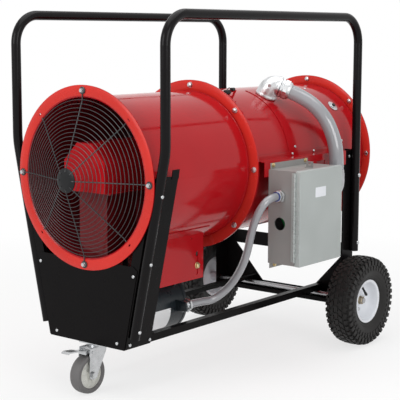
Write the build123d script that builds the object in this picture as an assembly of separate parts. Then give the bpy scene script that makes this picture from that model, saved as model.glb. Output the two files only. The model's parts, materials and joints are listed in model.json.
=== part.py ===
from build123d import *
import math
import os

os.makedirs("parts", exist_ok=True)

# ------------------------------------------------------------------
# Driving dimensions, mm. x = 0 is the middle plane, y = 0 the front
# face of the front flange, z = 0 the floor.
# ------------------------------------------------------------------
axis_z = 560.0                # height of the duct axis
duct_r = 203.2                # inner radius of both duct sections
duct_wall = 2.0
duct_out = duct_r + duct_wall
housing_len = 426.0
casing_end = 1010.0
flange_r = duct_r + 31.8
flange_t = 2.5
end_flange_r = flange_r - 3.0
bolt_circle_r = duct_r + 17.8
bolt_count = 8
bolt_r = 4.0
hole_r = 4.4

guard_depth = 62.0            # cone height of the inlet guard
guard_outer_r = duct_r - 2.2
guard_hub_r = 31.5
guard_rings = 17
guard_wire = 3.0
guard_bolt_r = 3.0

tube_r = 12.7                 # frame tube
tube_wall = 1.8
front_tube_y = 15.3
front_foot = (155.0, 165.0)
front_knee = (258.0, 640.0)
frame_top = 969.0
hoop_bend_r = 75.0
knee_bend_r = 200.0
rear_tube_x = 251.0
rear_tube_y = casing_end - 115.0
rear_foot_z = 276.0
tube_screw_z = (505.0, 301.0)
rear_half = rear_tube_x - tube_r - 0.1
sheet = 2.0
rail_x = 133.7
rail_leg = 19.5
rail_t = 3.0
rail_top = 157.5

axle_r = 8.0
axle_y = rear_tube_y - 23.0
axle_z = 133.5
axle_play = 0.3               # side play of a wheel hub
spacer_len = 4.3              # between the rear panel and a wheel hub
hub_half = 45.0
wheel_r = 133.5
wheel_x = rear_half + spacer_len + 2 * axle_play - 0.1 + hub_half
axle_end = wheel_x + hub_half + 9.0
wheel_w = 86.0
rim_r = 62.0
caster_pin_y = 40.0
caster_axle_y = 5.0
caster_r = 51.0
caster_w = 32.0
brake_y = 4.0
brake_z = 110.0

motor_z = 191.0
motor_r = 79.0
motor_y0 = 152.0              # nose of the motor's front bell
motor_y1 = 313.0              # rim of its rear bell
shaft_r = 12.7
motor_shaft_r = 7.94
fan_sheave_r = 43.0
motor_sheave_r = 38.0
sheave_y0 = 98.0
sheave_y1 = 128.0
bearing_y = (165.0, housing_len - 156.0)
belt_run = 0.5                # belt top below the sheave rim
belt_depth = 8.0

box_x0 = 250.0
box_x1 = 338.0
box_y0 = 451.4
box_y1 = 655.3
box_z0 = 306.1
box_z1 = 560.8
box_t = 1.6
door_x1 = 354.0
hinge_x = box_x1 - 0.5
hinge_y = box_y0 - 5.2
hinge_r = 3.2
hinge_pin_r = 1.5
hinge_z = (345.0, 510.0)

knockout_r = 17.3
small_conduit_r = 10.65
large_conduit_r = 20.75

stud_out = 10.0               # outlet studs beyond the rear flange
guard_front = -(guard_depth + 6.0)
pedal_tip_y = caster_axle_y - 80.0
mid_length = (casing_end + stud_out + pedal_tip_y) / 2.0


# ------------------------------------------------------------------
# Shape helpers
# ------------------------------------------------------------------
FLAT_SHARE = math.cos(math.pi / 6)    # width over flats of a hexagon in a circle
GROOVE_HALF = math.tan(math.radians(18))


def block(x0, x1, y0, y1, z0, z1):
    """Box between two corners."""
    size = Box(abs(x1 - x0), abs(y1 - y0), abs(z1 - z0))
    return Pos((x0 + x1) / 2, (y0 + y1) / 2, (z0 + z1) / 2) * size


def rod(start, end, radius):
    """Round rod from one point to another."""
    a = Vector(*start)
    b = Vector(*end)
    plane = Plane(origin=a, z_dir=b - a)
    return extrude(plane * Circle(radius), amount=(b - a).length)


def pipe(start, end, radius, bore):
    """Round tube from one point to another."""
    a = Vector(*start)
    b = Vector(*end)
    plane = Plane(origin=a, z_dir=b - a)
    return extrude(plane * (Circle(radius) - Circle(bore)), amount=(b - a).length)


def polygon_xz(points, y0, y1):
    """Prism of an x-z outline between two y stations."""
    wire = Polyline(*[(x, y0, z) for x, z in points], close=True)
    return extrude(make_face(wire), amount=y1 - y0, dir=(0, 1, 0))


def polygon_yz(points, x0, x1):
    """Prism of a y-z outline between two x stations."""
    wire = Polyline(*[(x0, y, z) for y, z in points], close=True)
    return extrude(make_face(wire), amount=x1 - x0, dir=(1, 0, 0))


def polygon_xy(points, z0, z1):
    """Prism of an x-y outline between two heights."""
    wire = Polyline(*[(x, y, z0) for x, y in points], close=True)
    return extrude(make_face(wire), amount=z1 - z0, dir=(0, 0, 1))


def turned(points, x=0.0, z=axis_z):
    """Revolve an (r, y) outline about an axis along Y."""
    face = make_face(Polyline(*[(r, y, 0) for r, y in points], close=True))
    return Pos(x, 0, z) * revolve(face, axis=Axis.Y)


def turned_x(points, y, z):
    """Revolve an (r, x) outline about an axis along X."""
    face = make_face(Polyline(*[(x, r, 0) for r, x in points], close=True))
    return Pos(0, y, z) * revolve(face, axis=Axis.X)


def turned_z(points, x, y):
    """Revolve an (r, z) outline about a vertical axis."""
    face = make_face(Polyline(*[(r, 0, z) for r, z in points], close=True))
    return Pos(x, y, 0) * revolve(face, axis=Axis.Z)


def ride(angle, shape):
    """Turn a shape built round the origin to an angle from the duct's top."""
    return Pos(0, 0, axis_z) * Rot(0, angle, 0) * shape


def curved_sheet(r0, r1, y0, y1, angle0, angle1):
    """Sheet rolled round the duct axis between two angles from the top."""
    outline = Polyline((0, y0, r0), (0, y1, r0), (0, y1, r1), (0, y0, r1), close=True)
    body = revolve(make_face(outline), axis=Axis.Y, revolution_arc=angle1 - angle0)
    return Pos(0, 0, axis_z) * Rot(0, angle0, 0) * body


def turn_to(origin, direction, shape):
    """Stand a shape built along +Z at a point, along a direction."""
    return Plane(origin=origin, z_dir=direction).location * shape


def hexagon(across, z0, z1):
    """Hexagonal prism along Z."""
    outline = RegularPolygon(radius=across / 2, side_count=6, major_radius=False)
    return extrude(Pos(0, 0, z0) * outline, amount=z1 - z0)


def screw_hole(start, end, radius):
    """Six-sided hole round a shank of six flats."""
    a = Vector(*start)
    b = Vector(*end)
    return turn_to(a, b - a, hexagon(2 * radius, 0, (b - a).length))


def hex_bolt(origin, direction, grip, radius=bolt_r, across=13.0, head=5.5, nut=6.0, tail=2.5):
    """Hex bolt and nut clamping a joint of a given grip, its shank in six flats."""
    shank = hexagon(2 * radius * FLAT_SHARE, -grip - nut - tail, head / 2)
    part = shank + hexagon(across, 0, head)
    if nut > 0:
        part = part + hexagon(across, -grip - nut, -grip)
    return turn_to(origin, direction, part)


def outlet_stud(origin, direction, reach):
    """Stud with a hexagonal head, six flats through its flange and a round end beyond it."""
    neck = hexagon(2 * bolt_r * FLAT_SHARE, -flange_t, 2.0)
    base = (Align.CENTER, Align.CENTER, Align.MIN)
    end = Pos(0, 0, -flange_t - reach) * Cylinder(bolt_r, reach, align=base)
    return turn_to(origin, direction, neck + end + hexagon(13.0, 0, 5.5))


def pan_screw(origin, direction, grip, radius=2.4, head_r=5.0, head=2.4):
    """Screw whose head bears on a sheet, its shank in six flats, its head in eight."""
    shank = hexagon(2 * radius * FLAT_SHARE, -grip, head / 2)
    cap = extrude(RegularPolygon(radius=head_r, side_count=8), amount=head)
    return turn_to(origin, direction, shank + cap)


def around(radius, angle):
    """x and z of a point at a radius and an angle from the duct's top."""
    a = math.radians(angle)
    return radius * math.sin(a), axis_z + radius * math.cos(a)


def bend_radii(points, share=0.45):
    """Radius at each inner point, from the shorter of its two runs."""
    radii = []
    for i in range(1, len(points) - 1):
        a = Vector(*points[i]) - Vector(*points[i - 1])
        b = Vector(*points[i + 1]) - Vector(*points[i])
        half = math.radians(a.get_angle(b)) / 2
        radii.append(share * min(a.length, b.length) / math.tan(half))
    return radii


def swept_tube(points, radii, radius, bore):
    """Tube along straight runs joined by tangent arcs."""
    path = FilletPolyline(*points, radius=radii)
    a = Vector(*points[0])
    b = Vector(*points[1])
    plane = Plane(origin=a, z_dir=b - a)
    ring = Circle(radius) - Circle(bore) if bore > 0 else Circle(radius)
    return sweep(plane * ring, path=path), path


def flat_sided_wire(points, radii, radius):
    """Hexagonal bar along straight runs joined by tangent arcs."""
    path = FilletPolyline(*points, radius=radii)
    plane = Plane(origin=points[0], z_dir=Vector(*points[1]) - Vector(*points[0]))
    return sweep(plane * RegularPolygon(radius=radius, side_count=6), path=path)


front_slope = (front_knee[0] - front_foot[0]) / (front_knee[1] - front_foot[1])
side_screw_z = (535.0, 364.0, 188.0)
rail_screw_y = (15.3, 90.3)
rail_screw_z = 147.5
apron_screws = [(164.0, 328.0), (107.0, 149.0)]
caster_screws = [(23.0, 12.0), (23.0, 73.0)]


def side_x(z):
    """x of the front tube's centre at a height."""
    return front_foot[0] + (z - front_foot[1]) * front_slope


def side_screw(z, sx):
    """Point on the front tube's axis and the way out of a screw through it."""
    return Vector(sx * side_x(z), front_tube_y, z), Vector(sx, 0, -front_slope).normalized()


def both_sides(shape):
    """A right-hand piece and its mirror image."""
    return [shape, mirror(shape, about=Plane.YZ)]


# ------------------------------------------------------------------
# Frame
# ------------------------------------------------------------------
def make_hoop():
    """Right-hand hoop: flared front leg, long top bar as the handle, rear leg."""
    points = [
        (front_foot[0], front_tube_y, front_foot[1]),
        (front_knee[0], front_tube_y, front_knee[1]),
        (front_knee[0], front_tube_y, frame_top),
        (rear_tube_x, rear_tube_y, frame_top),
        (rear_tube_x, rear_tube_y, rear_foot_z),
    ]
    radii = [knee_bend_r, hoop_bend_r, hoop_bend_r]
    part = swept_tube(points, radii, tube_r, tube_r - tube_wall)[0]
    for z in side_screw_z:
        c, n = side_screw(z, 1)
        part = part - screw_hole(c - n * 30, c + n * 30, 2.7)
    for z in tube_screw_z:
        start = (rear_tube_x - 30, rear_tube_y, z)
        part = part - screw_hole(start, (rear_tube_x + 30, rear_tube_y, z), 3.3)
    return part


panel_front = 2.6
plate_offset = 14.3
plate_bottom = 136.0
plate_top = 576.0
plate_depth = 97.0
shelf_y = 84.0


def make_side_plate():
    """Right-hand front side plate with its folded front strip and tab."""
    xb = side_x(plate_bottom) - plate_offset
    xt = side_x(plate_top) - plate_offset
    y0 = panel_front + sheet
    h = sheet / 2
    wall = polygon_xz(
        [(xb - h, plate_bottom), (xb + h, plate_bottom), (xt + h, plate_top), (xt - h, plate_top)],
        y0,
        plate_depth,
    )
    strip = polygon_xz(
        [(xb - 28, plate_bottom), (xb, plate_bottom), (xt, plate_top), (xt - 28, plate_top)],
        y0,
        y0 + sheet,
    )
    tab_x = side_x(plate_top + 16) - plate_offset
    tab = polygon_xz(
        [(xt - h, plate_top - 8), (xt + h, plate_top - 8), (tab_x + h, plate_top + 16),
         (tab_x - h, plate_top + 16)],
        plate_depth - 26,
        plate_depth,
    )
    part = wall + strip + tab
    duct = turned([(0, -50), (duct_out + 0.8, -50), (duct_out + 0.8, 500), (0, 500)])
    part = part - screw_hole((bolt_circle_r, 0, axis_z), (bolt_circle_r, 20, axis_z), hole_r)
    for z in side_screw_z:
        c, n = side_screw(z, 1)
        part = part - screw_hole(c - n * 30, c + n * 30, 2.7)
    z = rail_screw_z
    for y in rail_screw_y:
        part = part - screw_hole((rail_x - 30, y, z), (rail_x + 30, y, z), 2.7)
    for x, z in apron_screws:
        part = part - screw_hole((x, 0, z), (x, 20, z), 2.7)
    return part - duct


def make_front_panel():
    """Front apron with a folded shelf for the caster."""
    y0 = panel_front
    face = polygon_xz(
        [(-131, 134), (131, 134), (176, 342), (163, 352), (-163, 352), (-176, 342)],
        y0,
        y0 + sheet,
    )
    x = rail_x - rail_t - 0.2
    shelf = block(-x, x, y0, shelf_y, 134, 134 + sheet)
    lip = block(-x, x, shelf_y - sheet, shelf_y, 134, 148)
    part = face + shelf + lip
    for sx in (-1, 1):
        for x, z in apron_screws:
            part = part - screw_hole((sx * x, y0 - 5, z), (sx * x, y0 + 9, z), 2.7)
        for x, y in caster_screws:
            part = part - screw_hole((sx * x, y, 120), (sx * x, y, 150), 4.4)
    z = axis_z - bolt_circle_r
    part = part - screw_hole((0, y0 - 5, z), (0, y0 + 9, z), hole_r)
    return part - rod((0, caster_pin_y, 120), (0, caster_pin_y, 150), 8.5)


rear_y0 = rear_tube_y + 10.0
rear_y1 = rear_y0 + 3.0
panel_screw_y = rear_tube_y - 15.0
panel_screw_z = 561.0
panel_top = axis_z + 20.0
panel_low = axle_z - 10.5


def make_rear_panel():
    """Rear panel with side flanges, axle shelf, window and duct cradle."""
    y0 = rear_y0
    face = block(-rear_half, rear_half, y0, rear_y1, panel_low, panel_top)
    window = polygon_xz([(-94, 138), (94, 138), (199, 250), (-199, 250)], y0 - 10, rear_y1 + 10)
    upper = block(-200, 200, y0 - 10, rear_y1 + 10, 293, panel_top + 20)
    part = face - window - upper
    clear_r = duct_out + 1.8
    part = part - turned([(0, y0 - 90), (clear_r, y0 - 90), (clear_r, y0 + 90), (0, y0 + 90)])
    foot_z = panel_low - 10
    flange = block(rear_half - sheet, rear_half, axle_y - 24, y0 + 0.5, foot_z, panel_top)
    for piece in both_sides(flange):
        part = part + piece
    shelf_y0 = axle_y - 16
    shelf = block(-rear_half, rear_half, shelf_y0, y0 + 0.5, panel_low, panel_low + sheet)
    lip = block(-rear_half, rear_half, shelf_y0, shelf_y0 + sheet, foot_z, panel_low + 1)
    part = part + shelf + lip
    for sx in (-1, 1):
        x0 = sx * (rear_half - 6)
        x1 = sx * (rear_half + 6)
        part = part - rod((x0, axle_y, axle_z), (x1, axle_y, axle_z), axle_r + 0.3)
        y = panel_screw_y
        z = panel_screw_z
        part = part - screw_hole((x0, y, z), (x1, y, z), 2.7)
        for z in tube_screw_z:
            part = part - screw_hole((x0, rear_tube_y, z), (x1, rear_tube_y, z), 3.4)
    return part


def make_rail():
    """Right-hand lower rail, an angle with its flat leg on top, notched over the axle."""
    y0 = panel_front + 2 * sheet
    top = block(rail_x - rail_leg, rail_x, y0, rear_y0, rail_top - rail_t, rail_top)
    side = block(rail_x - rail_t, rail_x, y0, rear_y0, rail_top - rail_leg, rail_top)
    part = top + side
    z = rail_screw_z
    for y in rail_screw_y:
        part = part - screw_hole((rail_x - 10, y, z), (rail_x + 10, y, z), 2.7)
    x0 = rail_x - 10
    x1 = rail_x + 10
    return part - rod((x0, axle_y, axle_z), (x1, axle_y, axle_z), axle_r + 0.5)


def make_wheel_axle():
    """Through axle of the two wheels."""
    return rod((-axle_end + 4, axle_y, axle_z), (axle_end - 4, axle_y, axle_z), axle_r)


def make_axle_collars():
    """Spacers inside the wheels and cap nuts outside them."""
    pieces = []
    inner0 = rear_half + 0.2
    inner1 = wheel_x - hub_half - axle_play
    outer0 = wheel_x + hub_half + axle_play
    for sx in (-1, 1):
        pieces.append(
            pipe((sx * inner0, axle_y, axle_z), (sx * inner1, axle_y, axle_z), 14.0, axle_r)
        )
        cap = turned_x(
            [(axle_r, outer0), (15, outer0), (15, outer0 + 2), (12, outer0 + 2),
             (12, axle_end - 2.5), (9, axle_end), (0, axle_end), (0, axle_end - 4),
             (axle_r, axle_end - 4)],
            axle_y,
            axle_z,
        )
        pieces.append(cap if sx > 0 else mirror(cap, about=Plane.YZ))
    return pieces


def make_frame_screws():
    """Screws of the frame: apron, side plates, tubes, rear panel."""
    pieces = []
    for sx in (-1, 1):
        for x, z in apron_screws:
            pieces.append(pan_screw((sx * x, panel_front, z), (0, -1, 0), 8.0))
        z = rail_screw_z
        x = side_x(z) - plate_offset + sheet / 2 + 1.15
        for y in rail_screw_y:
            pieces.append(pan_screw((sx * x, y, z), (sx, 0, 0), x - rail_x + 5.0))
        for z in side_screw_z:
            c, n = side_screw(z, sx)
            head = c + n * (tube_r + 0.02)
            pieces.append(pan_screw(tuple(head), tuple(n), 2 * tube_r + 3.5))
        pieces.append(pan_screw((sx * rear_half, panel_screw_y, panel_screw_z), (sx, 0, 0), 7.0))
        for z in tube_screw_z:
            x = rear_tube_x + tube_r + 0.02
            grip = 2 * tube_r + sheet + 3.6
            pieces.append(pan_screw((sx * x, rear_tube_y, z), (sx, 0, 0), grip, 3.0, 6.0, 3.0))
    return pieces


# ------------------------------------------------------------------
# Wheels
# ------------------------------------------------------------------
def make_wheel():
    """Right-hand pneumatic wheel: dished rim and bearing hub."""
    h = hub_half
    bore = axle_r + 0.05
    r = rim_r
    profile = [
        (bore, -h), (15, -h), (15, -20), (26, -8), (44, -8), (r - 6, -24), (r - 3, -30),
        (r + 3, -30), (r + 3, -27.5), (r, -27.5), (r, 27.5), (r + 3, 27.5), (r + 3, 30),
        (r - 3, 30), (r - 6, 24), (44, -5), (26, -5), (15, 2), (15, h), (bore, h),
    ]
    return turned_x([(a, b + wheel_x) for a, b in profile], axle_y, axle_z)


def make_tyre():
    """Hollow tyre seated on the right-hand rim."""
    r = rim_r + 0.05
    w = wheel_w / 2
    outer = [
        (r, 27.3), (r + 3.3, 27.3), (r + 9, 34), (88, w), (104, w), (121, 34), (wheel_r - 3, 22),
        (wheel_r, 10), (wheel_r, -10), (wheel_r - 3, -22), (121, -34), (104, -w), (88, -w),
        (r + 9, -34), (r + 3.3, -27.3), (r, -27.3),
    ]
    inner = [
        (r, -21), (r + 8, -27), (91, -35), (104, -34), (122, -14), (122, 14), (104, 34),
        (91, 35), (r + 8, 27), (r, 21),
    ]
    return turned_x([(a, b + wheel_x) for a, b in outer + inner], axle_y, axle_z)


def make_caster_plate():
    """Top plate and swivel pin of the caster."""
    plate = block(-30, 30, 5, 80, 130, 134)
    for sx in (-1, 1):
        for x, y in caster_screws:
            plate = plate - screw_hole((sx * x, y, 120), (sx * x, y, 150), 4.4)
    race = turned_z([(0, 127.6), (17, 127.6), (17, 130.5), (0, 130.5)], 0, caster_pin_y)
    pin = turned_z([(0, 113.0), (10, 113.0), (10, 116.0), (6, 116.0), (6, 137.5), (0, 137.5)],
                   0, caster_pin_y)
    return plate + race + pin


def make_caster_fork():
    """Swivelling fork with the wheel's axle bolt."""
    crown = turned_z([(6.05, 116.3), (24, 116.3), (24, 124.5), (21, 127.3), (6.05, 127.3)],
                     0, caster_pin_y)
    bridge = block(-21, 21, 8, 56, 118, 121) - rod((0, caster_pin_y, 110), (0, caster_pin_y, 130), 20)
    part = crown + bridge
    for sx in (-1, 1):
        leg = polygon_yz(
            [(-3, 121), (56, 121), (54, 108), (18, 42), (8, 38), (-6, 42), (-8, 56), (-6, 104)],
            sx * 18.5,
            sx * 21,
        )
        part = part + leg
    axle = rod((-24, caster_axle_y, caster_r), (24, caster_axle_y, caster_r), 4.95)
    heads = turn_to((21, caster_axle_y, caster_r), (1, 0, 0), hexagon(15, 0, 6))
    nut = turn_to((-21, caster_axle_y, caster_r), (-1, 0, 0), hexagon(15, 0, 6))
    part = part + axle + heads + nut
    pivot = rod((-23, brake_y, brake_z), (23, brake_y, brake_z), 3.0)
    return part + pivot


def make_caster_wheel():
    """Caster wheel with a solid tread and a flanged hub."""
    w = caster_w / 2
    r = caster_r
    profile = [
        (5.0, -17.5), (11, -17.5), (11, -9), (r - 14, -9), (r - 12, -w), (r - 4, -w), (r - 1, -w + 3),
        (r, -w + 8), (r, w - 8), (r - 1, w - 3), (r - 4, w), (r - 12, w), (r - 14, 9), (11, 9),
        (11, 17.5), (5.0, 17.5),
    ]
    return turned_x(profile, caster_axle_y, caster_r)


def make_caster_brake():
    """Foot pedal of the caster with its brake shoe."""
    y = brake_y
    z = brake_z
    hub = rod((-18, y, z), (18, y, z), 5.5)
    shoe = block(-13, 13, y - 17, y - 3, z - 4.5, z + 1)
    arm = polygon_yz(
        [(y - 3, z - 1), (y - 3, z + 4), (-14, 116), (-40, 122), (-70, 125), (pedal_tip_y, 122),
         (pedal_tip_y, 119), (-70, 121.5), (-40, 118.5), (-14, 112)],
        -13,
        13,
    )
    part = hub + shoe + arm
    part = part - rod((-19, y, z), (19, y, z), 3.05)
    return part


# ------------------------------------------------------------------
# Fan housing, guard, drive
# ------------------------------------------------------------------
tunnel_x = 48.5
tunnel_y0 = 33.0
tunnel_y1 = 143.0
hood_screw_x = 76.5
hood_screw_y = (50.0, 150.0, 250.0)


def flange_holes(part, y, angles, radius=hole_r):
    """Bolt holes of a duct flange."""
    for angle in angles:
        x, z = around(bolt_circle_r, angle)
        part = part - screw_hole((x, y - 4, z), (x, y + 4, z), radius)
    return part


def make_fan_housing():
    """Front duct section with rolled flanges and a belt opening."""
    a = duct_r
    b = duct_out
    f = flange_r
    end = housing_len
    part = turned([
        (a + 4, 0), (f, 0), (f, flange_t), (b + 2.4, flange_t), (b, 5.4), (b, end - flange_t),
        (f, end - flange_t), (f, end), (a, end), (a, 4), (a + 1.2, 1.2),
    ])
    step = 360 / bolt_count
    part = flange_holes(part, end, [step * k for k in range(bolt_count)])
    part = flange_holes(part, 0, [0, 90, 180, 270])
    for k in range(4):
        slot = Rot(90, 0, 0) * extrude(SlotOverall(12, 4.2), amount=5, both=True)
        slot = Pos(0, 0, bolt_circle_r - 3) * Rot(0, 90, 0) * slot
        part = part - ride(45 + 90 * k, slot)
    gap = 0.3
    cut = block(-tunnel_x - gap, tunnel_x + gap, tunnel_y0 - gap, tunnel_y1 + gap, 340, 420)
    return part - cut


def make_inlet_guard():
    """Conical finger guard: concentric rings on radial wires, hub disc and eyes."""
    rise = guard_depth / (guard_outer_r - guard_hub_r)
    half = guard_wire / 2
    first = guard_hub_r + 6.5
    last = guard_outer_r - 3.0
    pitch = (last - first) / (guard_rings - 1)
    part = turned([
        (0, guard_front), (guard_hub_r - 1.5, guard_front), (guard_hub_r, guard_front + 1.5),
        (guard_hub_r, guard_front + 3), (0, guard_front + 3),
    ])
    for k in range(guard_rings):
        r = first + pitch * k
        y = -3.0 - (guard_outer_r - r) * rise
        part = part + turned([(r - half, y + 1.2), (r, y - 1.6), (r + half, y + 1.2)])
    inner = guard_hub_r - 9.0
    y_in = -3.0 - (guard_outer_r - inner) * rise + 2.6
    bend = guard_outer_r - 2.0
    for k in range(8):
        cardinal = k % 2 == 0
        end = bolt_circle_r - 6.0 if cardinal else duct_r + 2.8
        spoke = polygon_yz(
            [(y_in - 1.9, inner), (y_in + 1.9, inner), (-0.1, bend + 1), (-0.1, end), (-3.9, end),
             (-3.9, bend)],
            -1.9,
            1.9,
        )
        if cardinal:
            c = bolt_circle_r
            eye = rod((0, -3.0, c), (0, 0, c), 9.0)
            spoke = spoke + eye - screw_hole((0, -6, c), (0, 3, c), guard_bolt_r + 0.4)
        part = part + ride(45 * k, spoke)
    return part


def make_guard_bolts():
    """Bolts that hold the guard's eyes on the front flange."""
    pieces = []
    strip_grip = 3 + panel_front + 2 * sheet
    panel_grip = strip_grip - sheet
    plain_grip = 3 + flange_t
    for angle, grip, nut in ((0, plain_grip, 5), (90, strip_grip, 0), (180, panel_grip, 5),
                             (270, strip_grip, 0)):
        x, z = around(bolt_circle_r, angle)
        pieces.append(hex_bolt((x, -3, z), (0, -1, 0), grip, guard_bolt_r, 11, 5, nut, 2))
    return pieces


hood_y0 = 2.0
hood_y1 = housing_len - 126.0
hood_t = 1.5


hood_half = 71.0
hood_low = axis_z - 35.0
hood_bend = axis_z + 42.0
hood_top = axis_z + 89.0
hood_top_half = 25.0


def make_drive_hood():
    """Folded hood over the shaft, bearings and sheave, closed in front."""
    t = hood_t
    w = hood_half
    v = hood_top_half
    outer = [(-w, hood_low), (w, hood_low), (w, hood_bend), (v, hood_top), (-v, hood_top),
             (-w, hood_bend)]
    w = w - t
    v = v - 0.4 * t
    bend = hood_bend - 0.4 * t
    inner = [(-w, hood_low - 5), (w, hood_low - 5), (w, bend), (v, hood_top - t),
             (-v, hood_top - t), (-w, bend)]
    shell = polygon_xz(outer, hood_y0, hood_y1)
    part = shell - polygon_xz(inner, hood_y0 + t, hood_y1 - t)
    for sx in (-1, 1):
        foot = block(sx * (w + 0.5), sx * (w + 12.5), hood_y0 + 8, hood_y1, hood_low, hood_low + t)
        part = part + foot
        x = sx * hood_screw_x
        for y in hood_screw_y:
            part = part - screw_hole((x, y, hood_low - 10), (x, y, hood_low + 10), 2.7)
    return part - rod((0, hood_y1 - 10, axis_z), (0, hood_y1 + 10, axis_z), 16.0)


block_screw_x = 44.0
web_y = bearing_y[1] - 20.0


def make_bearing_base():
    """Bearing plate standing in the duct on the belt tunnel and a rear web."""
    top = hood_low
    plate = block(-83, 83, 8, 310, top - 3, top)
    x = tunnel_x
    y0 = tunnel_y0
    y1 = tunnel_y1
    plate = plate - block(-x + 2, x - 2, y0 + 3, y1 - 3, top - 10, top + 5)
    t = 1.5
    tunnel = block(-x, x, y0, y1, 347, top - 3)
    tunnel = tunnel - block(-x + t, x - t, y0 + t, y1 - t, 340, top + 5)
    web = block(-60, 60, web_y, web_y + 3, 340, top - 3)
    foot = curved_sheet(duct_r - 2.2, duct_r - 0.2, web_y - 25, web_y + 3, 164, 196)
    keep = turned([(0, 0), (duct_r - 0.2, 0), (duct_r - 0.2, 400), (0, 400)])
    part = plate + tunnel + (web & keep) + foot
    for sx in (-1, 1):
        x = sx * hood_screw_x
        for y in hood_screw_y:
            part = part - screw_hole((x, y, top - 15), (x, y, top + 10), 2.7)
        x = sx * block_screw_x
        for y in bearing_y:
            part = part - screw_hole((x, y, top - 15), (x, y, top + 10), 4.4)
    return part


def make_bearing_blocks():
    """Two pillow blocks with their bolts' holes."""
    pieces = []
    low = hood_low
    for y in bearing_y:
        base = block(-55, 55, y - 19, y + 19, low, low + 12)
        dome = rod((0, y - 17, axis_z), (0, y + 17, axis_z), 30.0)
        neck = block(-30, 30, y - 17, y + 17, low + 11, axis_z)
        part = base + dome + neck
        part = part - rod((0, y - 20, axis_z), (0, y + 20, axis_z), shaft_r + 0.05)
        for sx in (-1, 1):
            x = sx * block_screw_x
            part = part - screw_hole((x, y, low - 5), (x, y, low + 15), 4.4)
        pieces.append(part)
    return pieces


def make_fan_shaft():
    """Shaft of the fan."""
    return rod((0, sheave_y0 - 15, axis_z), (0, housing_len - 26, axis_z), shaft_r)


def sheave(radius, bore, z):
    """Grooved belt wheel with a 36 degree groove."""
    y0 = sheave_y0
    y1 = sheave_y1
    mid = (y0 + y1) / 2
    foot = radius - 10.0
    half0 = 4.3
    half1 = half0 + 10.0 * GROOVE_HALF
    return turned([
        (bore, y0), (radius - 4, y0), (radius, y0 + 4), (radius, mid - half1), (foot, mid - half0),
        (foot, mid + half0), (radius, mid + half1), (radius, y1 - 4), (radius - 4, y1), (bore, y1),
    ], 0, z)


def make_v_belt():
    """Closed V-belt round the two sheaves."""
    mid = (sheave_y0 + sheave_y1) / 2
    centre = axis_z - motor_z
    r1 = fan_sheave_r - belt_run - belt_depth
    r2 = motor_sheave_r - belt_run - belt_depth
    nz = (r2 - r1) / centre
    nx = math.sqrt(1 - nz * nz)
    a = (r1 * nx, mid, axis_z + r1 * nz)
    b = (r2 * nx, mid, motor_z + r2 * nz)
    c = (-b[0], mid, b[2])
    d = (-a[0], mid, a[2])
    narrow = 4.1
    wide = narrow + belt_depth * GROOVE_HALF
    n = Vector(nx, 0, nz)
    p = Vector((a[0] + b[0]) / 2, mid, (a[2] + b[2]) / 2)
    corners = [
        p + Vector(0, -narrow, 0), p + Vector(0, narrow, 0),
        p + n * belt_depth + Vector(0, wide, 0), p + n * belt_depth + Vector(0, -wide, 0),
    ]
    face = make_face(Polyline(*corners, close=True))
    loop = Wire([
        Line(tuple(p), b).edge(),
        ThreePointArc(b, (0, mid, motor_z - r2), c).edge(),
        Line(c, d).edge(),
        ThreePointArc(d, (0, mid, axis_z + r1), a).edge(),
        Line(a, tuple(p)).edge(),
    ])
    return sweep(face, path=loop)


impeller_hub_r = 60.0
blade_tip_r = 197.0
blade_count = 6


def make_impeller():
    """Axial impeller: hub with six cambered, twisted blades."""
    y0 = housing_len - 106.0
    y1 = housing_len - 41.0
    mid = (y0 + y1) / 2
    r = impeller_hub_r
    bore = shaft_r
    hub = turned([
        (bore, y0), (30, y0), (30, y0 + 12), (r - 4, y0 + 12), (r - 4, y0 + 4), (r, y0 + 4),
        (r, y1), (r - 4, y1), (r - 4, y0 + 16), (26, y0 + 16), (26, y1 - 8), (bore, y1 - 8),
    ])

    def section(z, chord, thick, camber, pitch):
        """Cambered blade section across a radius."""
        h = chord / 2
        upper = ThreePointArc((-h, 0), (0, camber + thick), (h, 0))
        lower = ThreePointArc((h, 0), (0, camber), (-h, 0))
        face = make_face(Curve() + [upper, lower])
        return Pos(0, mid, z) * Rot(0, 0, pitch) * face

    blade = loft([
        section(r - 3, 78, 4.0, 8.0, -38),
        section((r + blade_tip_r) / 2, 92, 3.2, 7.0, -28),
        section(blade_tip_r - 6, 100, 2.4, 5.0, -20),
    ])
    keep = turned([(r - 3.5, y0 - 40), (blade_tip_r, y0 - 40), (blade_tip_r, y1 + 40),
                   (r - 3.5, y1 + 40)])
    part = hub
    for k in range(blade_count):
        part = part + (ride(360 / blade_count * k, blade) & keep)
    return part


# ------------------------------------------------------------------
# Motor and its carrier
# ------------------------------------------------------------------
skirt_x = 120.0
skirt_y0 = 100.0
skirt_y1 = 333.0
slot_y = (145.0, 306.0)
slot_z0 = 283.5
slot_z1 = 338.5
plate_z = 280.0
plate_t = 3.0
plate_y0 = 135.0
plate_y1 = 330.0
foot_bolt_x = 62.0
foot_bolt_y = (192.0, 268.0)
bell_len = 19.0
rim_len = 10.0
conduit_x = 100.0
conduit_z = 195.0
boss_y = 285.0


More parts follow.
